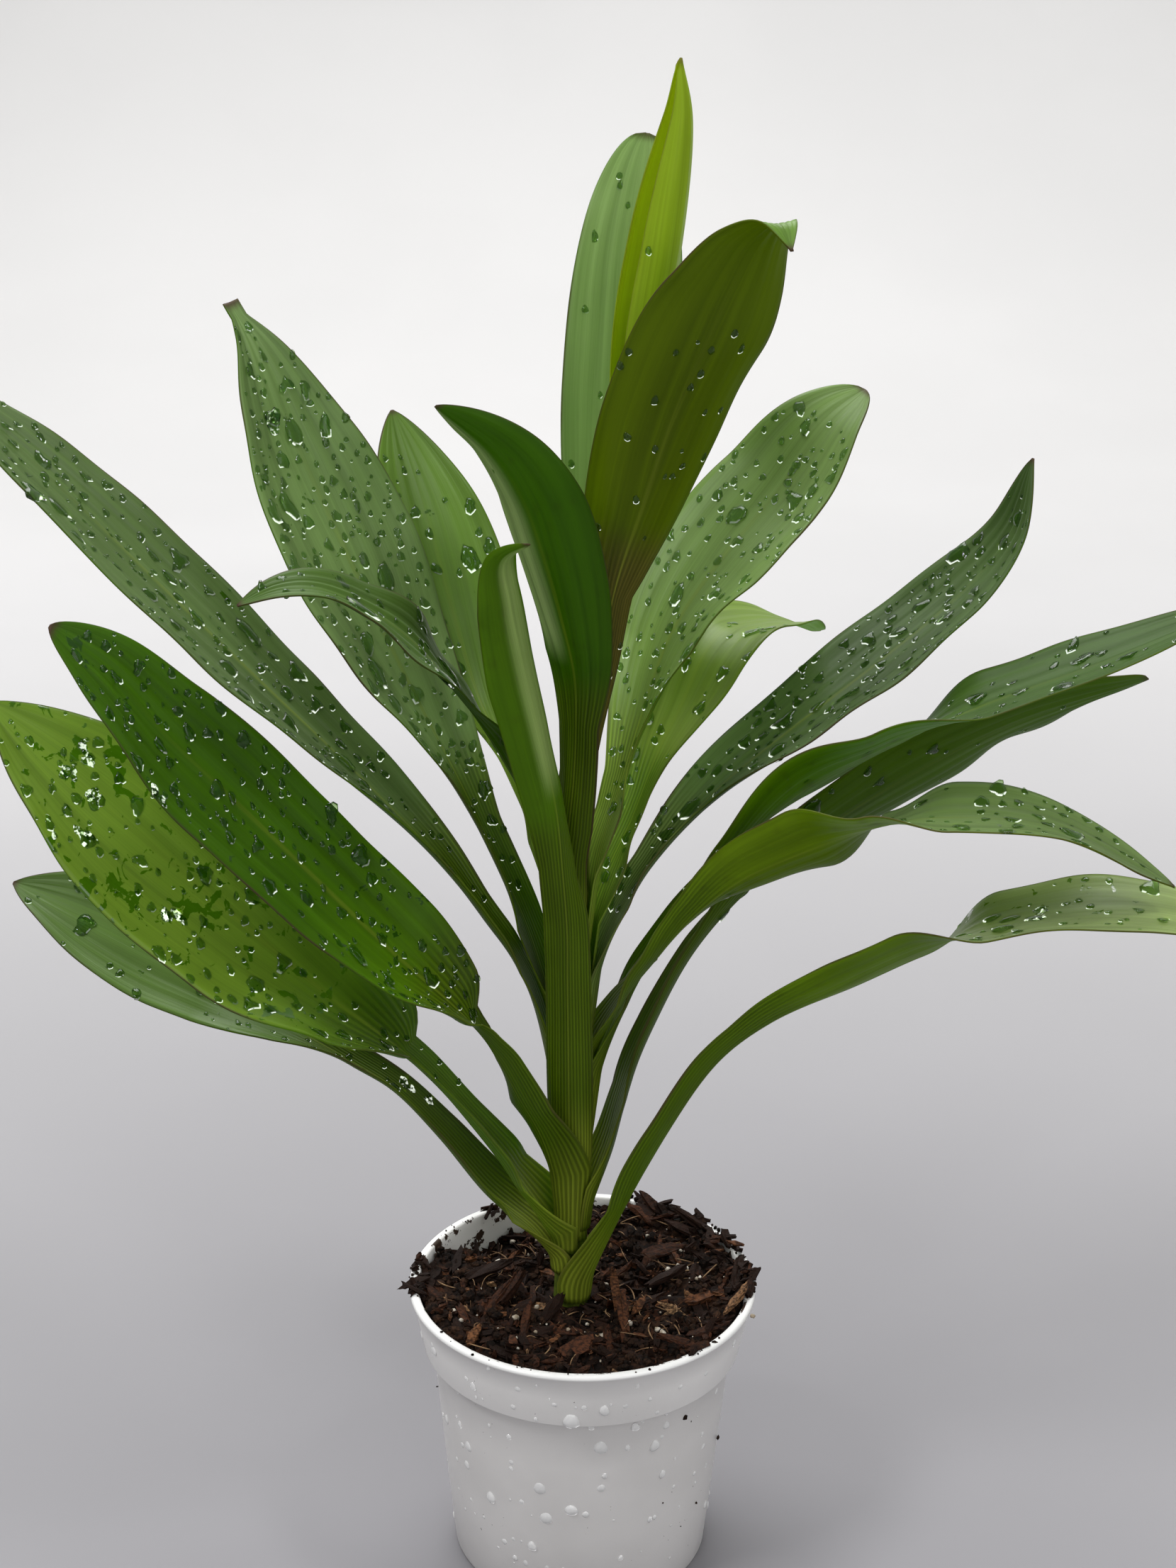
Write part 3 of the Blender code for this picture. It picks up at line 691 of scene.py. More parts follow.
def buildCane():
    material, tree, shader = newMaterial("greenCane", roughness=0.6, specular=0.3)
    place = objectPlace(tree)
    rings = noisy(stretched(place, 0.2, 0.2, 3.0), 110.0, 3.0)
    ribs = noisy(stretched(place, 1.0, 1.0, 0.04), 900.0, 2.0)
    green = mixed(ramp(rings, 0.38, 0.6), (0.085, 0.125, 0.010), (0.13, 0.18, 0.014))
    feed(mixed(ramp(ribs, 0.4, 0.6, 0.55, 0.0), green, (0.035, 0.055, 0.006)), shader["Base Color"])
    bumped(shader, ribs, 0.4, 0.0004)
    low, tip = soil["level"] - soil["holeDepth"] + 0.3, cane["tipRadius"]
    profile = [(0.0, low), (cane["radius"] - 0.8, low), (cane["radius"], low + 3.0)]
    for i in range(cane["scars"]):
        z = cane["foot"] + cane["scarGap"] * i
        radius = float(caneRadius(z))
        profile += [(radius - 0.05, z - 0.6), (radius + 0.05, z), (radius - 0.05, z + 0.7)]
    top = cane["foot"] + cane["length"]
    profile += [(tip, top - 1.5), (tip * 0.6, top + 0.4), (0.0, top + 1.0)]
    bm = spun(profile, cane["sides"])
    bmesh.ops.translate(bm, verts=bm.verts, vec=(cane["x"] * mm, 0, 0))
    newPiece("caneStem", bm, [material], replaces="cane", sharp=60)


buildCane()
print("cane built")


# leaves: the midrib's route, as in the CAD, with finer rows, ripples, pleats and a keel

nest = dict(level=8.5, layer=1.2, seat=0.7, footLift=2.5, tightest=0.9, rollRun=60.0, fadeStart=290.0, fade=30.0,
            petioleHalf=7.5, sheathShare=0.85, channel=1.1, channelStart=12.0, channelRun=14.0)
detail = dict(rows=150, columns=24, thickness=0.5, keel=0.5, keelWidth=1.5, pleats=3.5, ripple=0.75,
              rippleLength=(30, 48), mapWidth=0.22, tipCrowding=1.15, calmReach=16, calmRun=14)
usual = dict(sheath=14, base=1.2, tip=0.75, widest=1.12, fold=0.35, rolled=False, clasp=1.25, stalk=(82, 104, 12),
             end=0.45, footDrop=0, band=(0, 0), gloss=0.3, pleat=0.24, dropSide="upper", dropSize=3.7)


def shape(node, azimuth, freeAt, petiole, width, upper, under, wetness, drops, dropRun, route, **own):
    # a route point is (out, up, swing, roll), and a swing or roll of 0 is left off its end
    return dict(usual, node=node, azimuth=azimuth, freeAt=freeAt, petiole=petiole, width=width, upper=upper, low=upper,
                under=under, wetness=wetness, drops=drops, dropRun=dropRun,
                route=[(*point, 0, 0)[:4] for point in route]) | own


# from the outermost, oldest leaf to the spear: name, azimuth, height where it leaves the bundle, petiole,
# width, upper and under colour (0-255), wetness, number of drops, where they lie, route, and what is its own
# the upper colours carry a painted sheen, a pale haze standing in for reflected sky, strongest on leaf_low_right
leaves = [
    shape("leaf_low_right", -20, 106, 120, 44, (156, 176, 106), (98, 126, 12), 0.45, 60, (0.45, 1.0),
          [(17, 131, 2), (32, 165, 3, -12), (49, 195, 4, -26), (66, 212, 5, -32), (89, 227, 7, -32),
          (112, 242, 9, -28), (137, 255, 12), (181, 264, 18, 5), (224, 256, 27, 5)], clasp=1.9, gloss=0.36),
    shape("leaf_low_left", 165, 113, 105, 42, (92, 122, 52), (72, 100, 8), 0.2, 60, (0.35, 0.97),
          [(13, 121), (30, 134), (47, 153), (63, 168), (78, 176, 0, -5), (104, 188, 0, -25), (129, 201, 0, -38),
          (155, 212, 0, -42), (179, 221, 0, -42), (203, 228, 0, -40)], clasp=1.9),
    shape("leaf_left_under", 180, 120, 92, 60, (126, 156, 48), (84, 124, 4), 0.66, 160, (0.25, 0.98),
          [(16, 138, 2), (34, 165, 2), (52, 188, 3, -10), (80, 212, 4, -30), (109, 239, 4, -48), (138, 267, 4, -52),
          (165, 294, 5, -50), (186, 315, 6, -45)], base=0.4, clasp=1.9, sheath=17, gloss=0.36, low=(83, 116, 10)),
    shape("leaf_right_under", 10, 134, 110, 38, (90, 124, 46), (70, 98, 2), 0.2, 20, (0.3, 0.9),
          [(14, 154, 2), (19, 174, 3), (28, 197, 5, -5), (42, 222, 8, -15), (60, 242, 10, -35), (85, 261, 12, -55),
          (118, 281, 12, -60), (150, 297, 10, -50), (194, 312, 6, -40)], dropSide="under", sheath=12, tip=0.5),
    shape("leaf_left_broad", 220, 146, 98, 46, (60, 98, 4), (68, 102, 4), 0.4, 180, (0.3, 0.98),
          [(13, 163, 0, 10), (21, 179, -1, 14), (28, 194, -2, 8), (34, 206, -5, -15), (43, 218, -9, -45),
          (60, 238, -17, -58), (84, 268, -26, -62), (105, 295, -36, -65), (124, 319, -44, -68), (138, 340, -51, -67),
          (153, 356, -58, -65)], sheath=17, base=0.42, clasp=1.9, gloss=0.2, pleat=0.4, low=(80, 118, 4), tip=0.6,
          footDrop=12),
    shape("leaf_front", -97, 205, 128, 26, (160, 182, 108), (76, 108, 8), 0.15, 24, (0.5, 0.98),
          [(16, 226), (19, 245, 0, 15), (23, 264, -1, 35), (27, 289, -3, 55), (31, 313, -7, 60), (37, 337, -11, 60),
          (46, 362, -14, 55), (55, 377, -14, 35), (64, 385, -6, 10)], sheath=9, fold=1.2, band=(0.1, 0.8),
          dropSize=1.4),
    shape("leaf_right_long", 6, 185, 110, 42, (62, 86, 34), (82, 116, 4), 0.2, 70, (0.3, 1.0),
          [(19, 210, 3), (33, 235, 2), (52, 263, -2, -30), (72, 286, -8, -50), (99, 303, -14, -32),
          (130, 319, -20, -3), (163, 334, -27), (210, 357, -34)], band=(0.9, 0.35), gloss=0.12),
    shape("leaf_left_long", 174, 188, 90, 46, (84, 106, 56), (66, 100, 12), 0.32, 220, (0.25, 1.0),
          [(16, 218, 1), (29, 239, 2), (45, 260, 1, -5), (70, 284, -3, -8), (102, 314, -5, -10), (135, 344, -9, -12),
          (172, 379, -12, -15), (215, 416, -15, -15)], sheath=12, gloss=0.25, pleat=0.5),
    shape("leaf_right_twisted", 0, 192, 85, 44, (108, 132, 74), (96, 120, 8), 0.25, 80, (0.25, 0.98),
          [(14, 208, -3), (25, 228, -9, -15), (38, 248, -15, -50), (52, 262, -19, -68), (73, 275, -24, -60),
          (95, 286, -30, -25), (117, 291, -35), (147, 290, -40), (185, 273, -45, 5)], sheath=12),
    shape("leaf_back_left", 152, 205, 95, 54, (112, 138, 78), (76, 112, 14), 0.35, 270, (0.25, 0.98),
          [(15, 226), (24, 246), (42, 278, 0, -4), (64, 313, 0, -12), (85, 350, 0, -18), (104, 385, 0, -20),
          (118, 414, 0, -20), (129, 430, 0, -15)], tip=0.95, pleat=0.4, end=3.3),
    # its low colour is painted lighter than the upper, as painted light on the shaded lower blade
    shape("leaf_right_broad", 18, 222, 75, 50, (74, 96, 50), (66, 98, 16), 0.22, 190, (0.2, 0.98),
          [(16, 240, 1), (31, 259, 4), (51, 277, 7), (79, 297, 7), (109, 318, 6), (137, 340, 5), (152, 359, 4),
          (158, 383, 5)], gloss=0.18, pleat=0.55, stalk=(116, 140, 70), low=(108, 138, 75)),
    shape("leaf_left_small", 205, 225, 80, 32, (74, 102, 40), (56, 86, 8), 0.3, 50, (0.35, 0.98),
          [(14, 272, 3), (27, 303, 1), (42, 326, 0, -10), (57, 344, 0, -25), (72, 356, 0, -15), (86, 363, 0, -10),
          (98, 364, 0, -10), (110, 360, -2, -10)], sheath=11, gloss=0.15, pleat=0.5),
    shape("leaf_back_right", 50, 237, 80, 42, (118, 142, 52), (104, 140, 20), 0.15, 40, (0.25, 0.8),
          [(17, 252), (29, 267), (41, 285), (55, 301), (66, 315), (77, 321), (94, 320), (112, 316), (128, 309)],
          stalk=(120, 150, 44), low=(168, 192, 80), tip=0.45, end=4.2),
    shape("leaf_back", 122, 243, 85, 46, (98, 130, 44), (84, 116, 14), 0.3, 50, (0.25, 0.98),
          [(15, 258), (36, 278), (62, 297), (80, 322), (97, 350), (123, 385)], sheath=10, stalk=(104, 134, 34),
          low=(118, 148, 44)),
    shape("leaf_upper_right", 30, 250, 70, 56, (110, 138, 68), (82, 114, 20), 0.15, 160, (0.25, 0.93),
          [(11, 260, 3), (19, 277, 6), (29, 299, 10), (44, 328, 14), (62, 350, 14, 5), (82, 371, 12, 10),
          (100, 393, 10, 15), (113, 403, 8, 15)], tip=0.55, stalk=(128, 156, 52), low=(120, 150, 62)),
    shape("leaf_upper_left", 240, 262, 85, 38, (180, 204, 132), (56, 92, 1), 0.1, 24, (0.3, 0.9),
          [(8, 292, 4), (12, 312, 7), (15, 330, 8), (20, 350, 6), (25, 369, 3), (30, 387, -1), (37, 403, -8, 5),
          (49, 418, -20, 15)], sheath=10, fold=1.0, band=(-0.5, 0.8), dropSize=1.4),
    shape("leaf_top_back", 84, 284, 75, 39, (140, 166, 102), (92, 128, 30), 0.0, 24, (0.4, 0.95),
          [(7, 306, -2), (11, 325, -4), (16, 355, -6), (22, 390, -9), (28, 425, -11), (32, 453, -12), (36, 474, -14),
          (39, 488, -16)], sheath=5, tip=0.42, widest=1.25, stalk=(100, 128, 40), dropSize=1.2, low=(138, 158, 92)),
    shape("leaf_top_front", -72, 276, 110, 45, (94, 130, 40), (84, 102, 1), 0.0, 24, (0.3, 0.8),
          [(7, 303, 1), (9, 330, 5), (13, 356, 8), (19, 382, 14), (27, 410, 20), (36, 433, 26), (43, 453, 32),
          (52, 468, 36), (63, 474, 38), (71, 468, 39)], dropSide="under", sheath=5, base=0.75, tip=0.95, dropSize=1.2,
          stalk=(96, 88, 36)),
    shape("spear", 30, 290, 60, 42, (160, 184, 52), (142, 168, 40), 0.0, 10, (0.4, 0.9),
          [(7, 330, -2), (15, 380, -5), (21, 420, -7), (27, 460, -11), (29, 497, -13), (25, 514, -14)],
          dropSide="under", tip=0.8, widest=1.8, fold=2.6, rolled=True, dropSize=1.0),
]


def nestRadius(index, z):
    inside = np.clip((z - cane["foot"]) / nest["level"] - index, 0, len(leaves) - 1 - index)
    return caneRadius(z) + nest["seat"] + nest["layer"] * inside


def between(t, start, end, a, b):
    return ((end - t) * a + (t - start) * b) / (end - start)


def smoothPath(points):
    # a centripetal curve through the points, with the number of its steps between two of them
    p = np.asarray(points, float)
    knots = np.concatenate([[0], np.cumsum(np.linalg.norm(np.diff(p, axis=0), axis=1) ** 0.5)])
    p = np.vstack([2 * p[0] - p[1], p, 2 * p[-1] - p[-2]])
    knots = np.concatenate([[-knots[1]], knots, [2 * knots[-1] - knots[-2]]])
    pieces = len(points) - 1
    steps = 400 // pieces
    out = []
    for i in range(pieces):
        k, q = knots[i:i + 4], p[i:i + 4]
        t = np.linspace(k[1], k[2], steps + 1)[:, None]
        a = [between(t, k[j], k[j + 1], q[j], q[j + 1]) for j in range(3)]
        b = [between(t, k[j], k[j + 2], a[j], a[j + 1]) for j in range(2)]
        curve = between(t, k[1], k[2], *b)
        out.append(curve if i == pieces - 1 else curve[:-1])
    return np.vstack(out), steps


def unit(rows):
    return rows / np.linalg.norm(rows, axis=1)[:, None]


def halfWidth(dist, length, leaf):
    narrowing = ease(dist / (nest["sheathShare"] * leaf["petiole"]))
    strip = leaf["sheath"] - (leaf["sheath"] - nest["petioleHalf"]) * narrowing
    x = np.clip((dist - leaf["petiole"]) / (length - leaf["petiole"]), 0, 1)
    bulge = x ** leaf["widest"]
    blade = np.sin(math.pi * bulge) ** np.where(bulge < 0.5, leaf["base"], leaf["tip"])
    return np.maximum(strip * (1 - ease(2 * x)) + leaf["width"] / 2 * np.where(x < 1, blade, 0), leaf["end"])


def leafSurface(index, leaf):
    azimuth = math.radians(leaf["azimuth"])
    outward = np.array([math.cos(azimuth), math.sin(azimuth), 0.0])
    sideways = np.array([-math.sin(azimuth), math.cos(azimuth), 0.0])
    foot = cane["foot"] + nest["level"] * index + (nest["footLift"] if index else 0.0) - leaf["footDrop"]
    heights = [foot, (foot + leaf["freeAt"]) / 2, leaf["freeAt"]]
    if leaf["freeAt"] - foot > 3 * nest["level"]:
        heights.insert(1, foot + nest["level"])
    stations = [(nestRadius(index, z), z, 0.0, 0.0) for z in heights]
    stations += [(max(r, nestRadius(index, z)), z, swing, roll) for r, z, swing, roll in leaf["route"]]
    path, steps = smoothPath([outward * r + sideways * swing + np.array([0, 0, z]) for r, z, swing, _ in stations])
    along = np.concatenate([[0], np.cumsum(np.linalg.norm(np.diff(path, axis=0), axis=1))])
    length = along[-1]
    dist = length * (1 - (1 - np.linspace(0, 1, detail["rows"] + 1)) ** detail["tipCrowding"])

    def at(d):
        return np.stack([np.interp(np.clip(d, 0, length), along, path[:, c]) for c in range(3)], -1)

    middle = at(dist)
    tangent = unit(at(dist + 0.008 * length) - at(dist - 0.008 * length))
    place = np.interp(dist, along[::steps], np.arange(len(stations)))
    low = np.clip(place.astype(int), 0, len(stations) - 2)
    rolls = np.array([s[3] for s in stations])
    blend = ease(place - low)
    roll = np.radians(rolls[low] * (1 - blend) + rolls[low + 1] * blend)[:, None]
    across = unit(sideways - (tangent @ sideways)[:, None] * tangent)
    across = np.cos(roll) * across + np.sin(roll) * np.cross(tangent, across)
    inward = np.cross(tangent, across)[:, None, :]
    across = across[:, None, :]

    half = halfWidth(dist, length, leaf)
    reach = np.hypot(middle[:, 0], middle[:, 1])
    share = np.clip((dist - leaf["petiole"]) / (length - leaf["petiole"]), 0, 1)
    blade = ease(share / 0.4)
    channel = nest["channel"] * (1 - blade) * ease((reach - nest["channelStart"]) / nest["channelRun"])
    channel = channel + leaf["fold"] * blade
    if leaf["rolled"]:
        channel = leaf["fold"] * ease(dist / nest["rollRun"])
    half = np.minimum(half, leaf["clasp"] * np.maximum(reach, 1.0))
    wrap = np.clip(half / np.maximum(reach, 1.0), channel, np.maximum(channel, leaf["clasp"]))
    wrap = np.minimum(wrap, half / nest["tightest"])[:, None]
    half = half[:, None]
    side = np.linspace(-1, 1, detail["columns"] + 1)[None, :]
    angle = wrap * side
    grid = (middle[:, None, :] + (half / wrap * np.sin(angle))[..., None] * across
            + (half / wrap * (1 - np.cos(angle)))[..., None] * inward)

    # fine relief, out of the middle surface: keel, pleats and a rippled margin
    rng = random.Random(500 + index)
    facing = np.cos(angle)[..., None] * inward - np.sin(angle)[..., None] * across
    d, b, far = dist[:, None], blade[:, None], share[:, None]
    free = ease((reach - detail["calmReach"]) / detail["calmRun"])[:, None]
    ending = 1 - ease((far - 0.9) / 0.1)
    relief = -detail["keel"] * np.exp(-(side * half / detail["keelWidth"]) ** 2) * (1 - 0.7 * far)
    relief = relief + leaf["pleat"] * np.cos(math.pi * 2 * detail["pleats"] * side) * b * (1 - side ** 2) * ending
    if not leaf["rolled"]:
        for sign in (-1, 1):
            wave, phase = rng.uniform(*detail["rippleLength"]), rng.uniform(0, 6)
            swell = 0.6 + 0.4 * np.sin(d / 23 + phase * 2)
            onSide = np.clip(side * sign, 0, 1) ** 3
            relief = relief + detail["ripple"] * onSide * np.sin(fullTurn * d / wave + phase) * swell * b * ending
    grid = grid + (relief * free)[..., None] * facing

    # nothing goes deeper than the leaf's own layer of the bundle
    radius = np.hypot(grid[..., 0], grid[..., 1])
    push = np.maximum(nestRadius(index, grid[..., 2]) - radius, 0)
    push = push * (1 - ease((grid[..., 2] - nest["fadeStart"]) / nest["fade"]))
    grid[..., :2] *= (1 + push / np.maximum(radius, 0.5))[..., None]
    grid = grid + np.array([cane["x"], 0, 0])
    return grid, dict(half=half[:, 0], dist=dist, run=dist / length, share=share)


def leafGroup():
    # veins, wet patches, pale foot, dark margin and tip, all from the leaf's own map and attributes
    colours = ("Colour", "Low Colour", "Wet Colour", "Foot Colour", "Stalk Colour", "Margin Colour", "Band Colour")
    tree, given, out = newGroup("leafPattern", {name: (0.08, 0.18, 0.05) for name in colours},
                                {"Band": 0.0, "Band Side": 0.0, "Wetness": 0.3, "Veins": 0.5},
                                ["Colour", "Wet", "Roughness", "Height"])
    uv = addNode(tree, "ShaderNodeUVMap", uv_map="leafMap").outputs[0]
    parts = addNode(tree, "ShaderNodeSeparateXYZ", {0: uv}).outputs
    tone, edge, run, blade = (attribute(tree, name) for name in ("tone", "edge", "run", "blade"))
    across, along = times(parts[0], 100.0), times(parts[1], 1000.0)
    seed = times(tone, 60.0)
    slanted = minus(maths("ABSOLUTE", across), times(along, 0.03))
    fine = noisy(joined(slanted, times(along, 0.010), seed), 0.85, 3.0, 0.7)
    fineLines = noisy(joined(slanted, times(along, 0.004), seed), 3.2, 1.0)
    bands = noisy(joined(across, times(along, 0.03), seed), 0.16, 2.0)
    place = objectPlace(tree)
    blotch = noisy(place, 24.0, 2.0)

    threshold = minus(0.80, times(given["Wetness"], 0.33))
    threshold = plus(threshold, times(minus(blotch, 0.5), -0.25))
    wet = ramp(minus(noisy(place, 150.0, 4.0, 0.55, 0.5), threshold), 0.0, 0.02)
    wet = times(wet, ramp(blade, 0.2, 0.6))

    foot, stalk = ramp(run, 0.02, 0.16, 1.0, 0.0), ramp(blade, 0.0, 0.55, 1.0, 0.0)
    colour = mixed(ramp(run, 0.32, 0.66, 1.0, 0.0), given["Colour"], given["Low Colour"])
    colour = mixed(foot, mixed(stalk, colour, given["Stalk Colour"]), given["Foot Colour"])
    midrib = times(ramp(maths("ABSOLUTE", across), 0.2, 1.3, 0.28, 0.0), ramp(run, 0.5, 0.95, 1.0, 0.0))
    colour = mixed(midrib, colour, given["Foot Colour"])
    colour = mixed(wet, colour, given["Wet Colour"])
    offset = maths("ABSOLUTE", minus(maths("DIVIDE", across, 100 * detail["mapWidth"]), given["Band Side"]))
    strip = times(ramp(offset, 0.18, 0.5, 1.0, 0.0), ramp(blade, 0.5, 1.0))
    colour = mixed(times(strip, given["Band"]), colour, given["Band Colour"])

    # lighter and darker lines: veins, broad bands, blotches, and ribs on the stalk
    level = plus(times(minus(fine, 0.5), given["Veins"]), times(minus(fineLines, 0.5), 0.42))
    level = plus(plus(1.0, level), times(minus(bands, 0.5), 1.0))
    level = maths("MAXIMUM", plus(level, times(minus(blotch, 0.5), 0.45)), 0.2)
    ribs = maths("SINE", plus(times(across, 2.3), times(fine, 3.0)))
    ribbed = plus(times(stalk, ramp(ribs, -0.7, 0.9, 0.6, 1.14)), minus(1.0, stalk))
    level = times(level, ribbed)
    colour = mixed(1.0, colour, joined(level, level, level), "MULTIPLY")

    edge = maths("DIVIDE", edge, plus(1.0, times(stalk, 0.9)))
    rim = times(ramp(edge, 0.1, 0.55, 1.0, 0.0), ramp(blotch, 0.3, 0.62, 0.9, 0.15))
    tipped = ramp(plus(run, times(minus(fine, 0.5), 0.02)), 0.987, 1.0)
    feed(mixed(maths("MAXIMUM", rim, tipped), colour, given["Margin Colour"]), out["Colour"])
    feed(wet, out["Wet"])
    feed(maths("MAXIMUM", ramp(wet, 0.0, 1.0, 0.40, 0.14), times(tipped, 0.6)), out["Roughness"])
    height = plus(times(ribs, ramp(blade, 0.0, 0.8, 0.32, 0.06)), times(fine, 0.5))
    feed(plus(plus(height, times(wet, 0.25)), times(bands, 1.2)), out["Height"])
    return tree


def leafMaterial(name, group, colours, glow, numbers, share, specular):
    material, tree, shader = newMaterial(name, specular=specular)
    pattern = addPattern(tree, group, colours, numbers)
    feed(pattern["Colour"], shader["Base Color"])
    feed(pattern["Roughness"], shader["Roughness"])
    feed(pattern["Wet"], shader["Coat Weight"])
    shader["Coat Roughness"].default_value = 0.05
    bumped(shader, pattern["Height"], 0.5, 0.0004)
    through = addNode(tree, "ShaderNodeBsdfTranslucent", {"Color": (*glow, 1.0)}).outputs[0]
    surface = tree.nodes["Principled BSDF"].outputs[0]
    blend = addNode(tree, "ShaderNodeMixShader", {0: share, 1: surface, 2: through})
    feed(blend.outputs[0], tree.nodes["Material Output"].inputs["Surface"])
    return material


def scaled(colour, factors):
    return tuple(c * factor for c, factor in zip(colour, factors))


def leafSkin(label, leaf, group):
    upper, under = linear(leaf["upper"]), linear(leaf["under"])
    glow = tuple(min(c, 1.0) for c in scaled(under, (3.2, 3.0, 1.0)))
    shared = {"Stalk Colour": linear(leaf["stalk"]), "Foot Colour": (0.27, 0.33, 0.03),
              "Margin Colour": (0.075, 0.028, 0.026), "Band Colour": upper}
    underColours = {"Colour": under, "Low Colour": under, "Wet Colour": scaled(under, (0.7, 0.7, 0.7)), **shared}
    upperColours = {"Colour": upper, "Low Colour": linear(leaf["low"]),
                    "Wet Colour": scaled(upper, (0.28, 0.45, 0.12)), **shared}
    underNumbers = {"Wetness": 0.05, "Veins": 0.75, "Band Side": leaf["band"][0], "Band": leaf["band"][1]}
    upperNumbers = {"Wetness": leaf["wetness"], "Veins": 0.5}
    return [leafMaterial(label + "Under", group, underColours, glow, underNumbers, 0.34, 0.12),
            leafMaterial(label + "Upper", group, upperColours, glow, upperNumbers, 0.28, leaf["gloss"])]


def buildLeaf(index, leaf, group):
    rows, columns = detail["rows"], detail["columns"]
    grid, facts = leafSurface(index, leaf)
    bm = bmesh.new()
    bmesh.ops.create_grid(bm, x_segments=columns, y_segments=rows, size=1.0)
    label = leaf["node"].title().replace("_", "")
    label = label[0].lower() + label[1:]
    piece = newPiece(label, bm, leafSkin(label, leaf, group), replaces=leaf["node"])
    mesh = piece.data
    count = len(mesh.vertices)
    flat = np.empty(count * 3)
    mesh.vertices.foreach_get("co", flat)
    flat = flat.reshape(-1, 3)
    column = np.rint((flat[:, 0] + 1) / 2 * columns).astype(int)
    row = np.rint((flat[:, 1] + 1) / 2 * rows).astype(int)
    mesh.vertices.foreach_set("co", (grid[row, column] * mm).ravel())
    side = column / columns * 2 - 1
    values = dict(edge=(1 - np.abs(side)) * facts["half"][row], run=facts["run"][row],
                  blade=ease(facts["share"][row] / 0.35), tone=np.full(count, index / len(leaves)))
    for name, numbers in values.items():
        layer = mesh.attributes.new(name, "FLOAT", "POINT")
        layer.data.foreach_set("value", numbers.astype(np.float32))
    uv = mesh.uv_layers.new(name="leafMap")
    corner = np.empty(len(mesh.loops), dtype=np.int32)
    mesh.loops.foreach_get("vertex_index", corner)
    mapped = np.stack([side * detail["mapWidth"], facts["dist"][row] * mm], -1)[corner]
    uv.data.foreach_set("uv", mapped.astype(np.float32).ravel())
    mesh.update()
    thick = piece.modifiers.new("thickness", "SOLIDIFY")
    thick.thickness = detail["thickness"] * mm
    thick.offset = 0.0
    thick.material_offset = 1
    return grid, facts


pattern = leafGroup()
surfaces = [buildLeaf(index, leaf, pattern) for index, leaf in enumerate(leaves)]
print("leaves built:", len(surfaces))


# water: drops on the leaves, then on the pot; sizes are half widths in millimetres

water = dict(small=0.55, spread=1.0, segments=12, rings=5, apart=1.25, sparkling=0.72, filmSize=(1.0, 2.3),
             potDrops=150, potShare=0.58, flatFrom=1.1, tallest=(0.42, 0.62), flat=(0.2, 0.34))
gravity = Vector((0, 0, -1))


def waterMaterial(name, transmission, body, paintedGlint):
    # clear water with a painted tone, and a painted glint: an emitted crescent along the lower edge of each drop
    material, tree, shader = newMaterial(name, roughness=0.03, specular=0.5)
    shader["Transmission Weight"].default_value = transmission
    shader["IOR"].default_value = 1.33
    shader["Emission Strength"].default_value = 1.0
    place = objectPlace(tree)
    ripple = noisy(place, 260.0, 1.0)
    # painted tone: the body colour darkens or lightens each drop in place of the light it would bend
    feed(mixed(ripple, scaled(body, (0.94, 0.94, 0.94)), body), shader["Base Color"])
    low = plus(attribute(tree, "low"), times(minus(noisy(place, 620.0, 2.0, 0.6), 0.5), 0.9))
    top = attribute(tree, "top")
    crescent = times(ramp(low, 0.42, 0.54), ramp(top, 0.38, 0.62, 1.0, 0.0))
    crescent = times(crescent, ramp(top, -0.1, 0.12))
    crescent = times(crescent, ramp(noisy(place, 480.0, 1.0), 0.44, 0.5))
    # painted highlight: the crescent glows by emission
    feed(mixed(times(crescent, attribute(tree, "spark")), (0, 0, 0), paintedGlint), shader["Emission Color"])
    bumped(shader, ripple, 0.15, 0.0004)
    return material


def addDrop(bm, rng, spot, facing, size, long, height, most=1.0, film=False):
    # a bead, or when it is large a flat puddle with an uneven outline, stretched the way it runs
    one = bmesh.new()
    bmesh.ops.create_uvsphere(one, u_segments=water["segments"], v_segments=water["rings"], radius=1.0)
    down = (gravity - facing * gravity.dot(facing)).normalized()
    side = facing.cross(down)
    uneven = within((size - 0.6) / 1.2, 0.25, most)
    waves = [(count, uneven * rng.uniform(0, swell), rng.uniform(0, 6))
             for count, swell in ((2, 0.3), (3, 0.3), (5, 0.16))]
    low, top, spark = (one.verts.layers.float.new(name) for name in ("low", "top", "spark"))
    sparkle = 1.0 if rng.random() < water["sparkling"] else rng.uniform(0, 0.3)
    for v in one.verts:
        angle = math.atan2(v.co.y, v.co.x)
        edge = 1 + sum(amount * math.cos(count * angle + phase) for count, amount, phase in waves)
        v[low], v[top], v[spark] = v.co.x, v.co.z, sparkle
        # painted highlight: a film glows in broken glints all over, but not from below
        if film:  # glitters all over, but not from below
            v[low], v[top], v[spark] = 0.44, 0.25 if v.co.z > -0.1 else -1.0, 0.85
        x, y, z = v.co.x * edge * long, v.co.y * edge * (1 + 0.22 * v.co.x), v.co.z
        z = z * height if z > 0 else z * (0.04 if film else 0.12)
        v.co = spot + (down * x + side * y + facing * z) * size * mm
    joinShape(bm, one)


# thin films of water with painted highlights in place of the window light they catch: leaf, pixel, reach in pixels
# along and across, count
films = [
    ("leaf_left_under", 118, 1092, 52, 26, 11), ("leaf_left_under", 132, 1190, 34, 16, 6),
    ("leaf_left_under", 262, 1306, 36, 14, 5), ("leaf_left_under", 66, 1165, 16, 10, 2),
    ("leaf_low_left", 588, 1538, 22, 7, 3), ("leaf_left_broad", 208, 1120, 22, 10, 3),
    ("leaf_back_left", 386, 604, 20, 10, 3), ("leaf_low_right", 1480, 1306, 26, 8, 4),
]


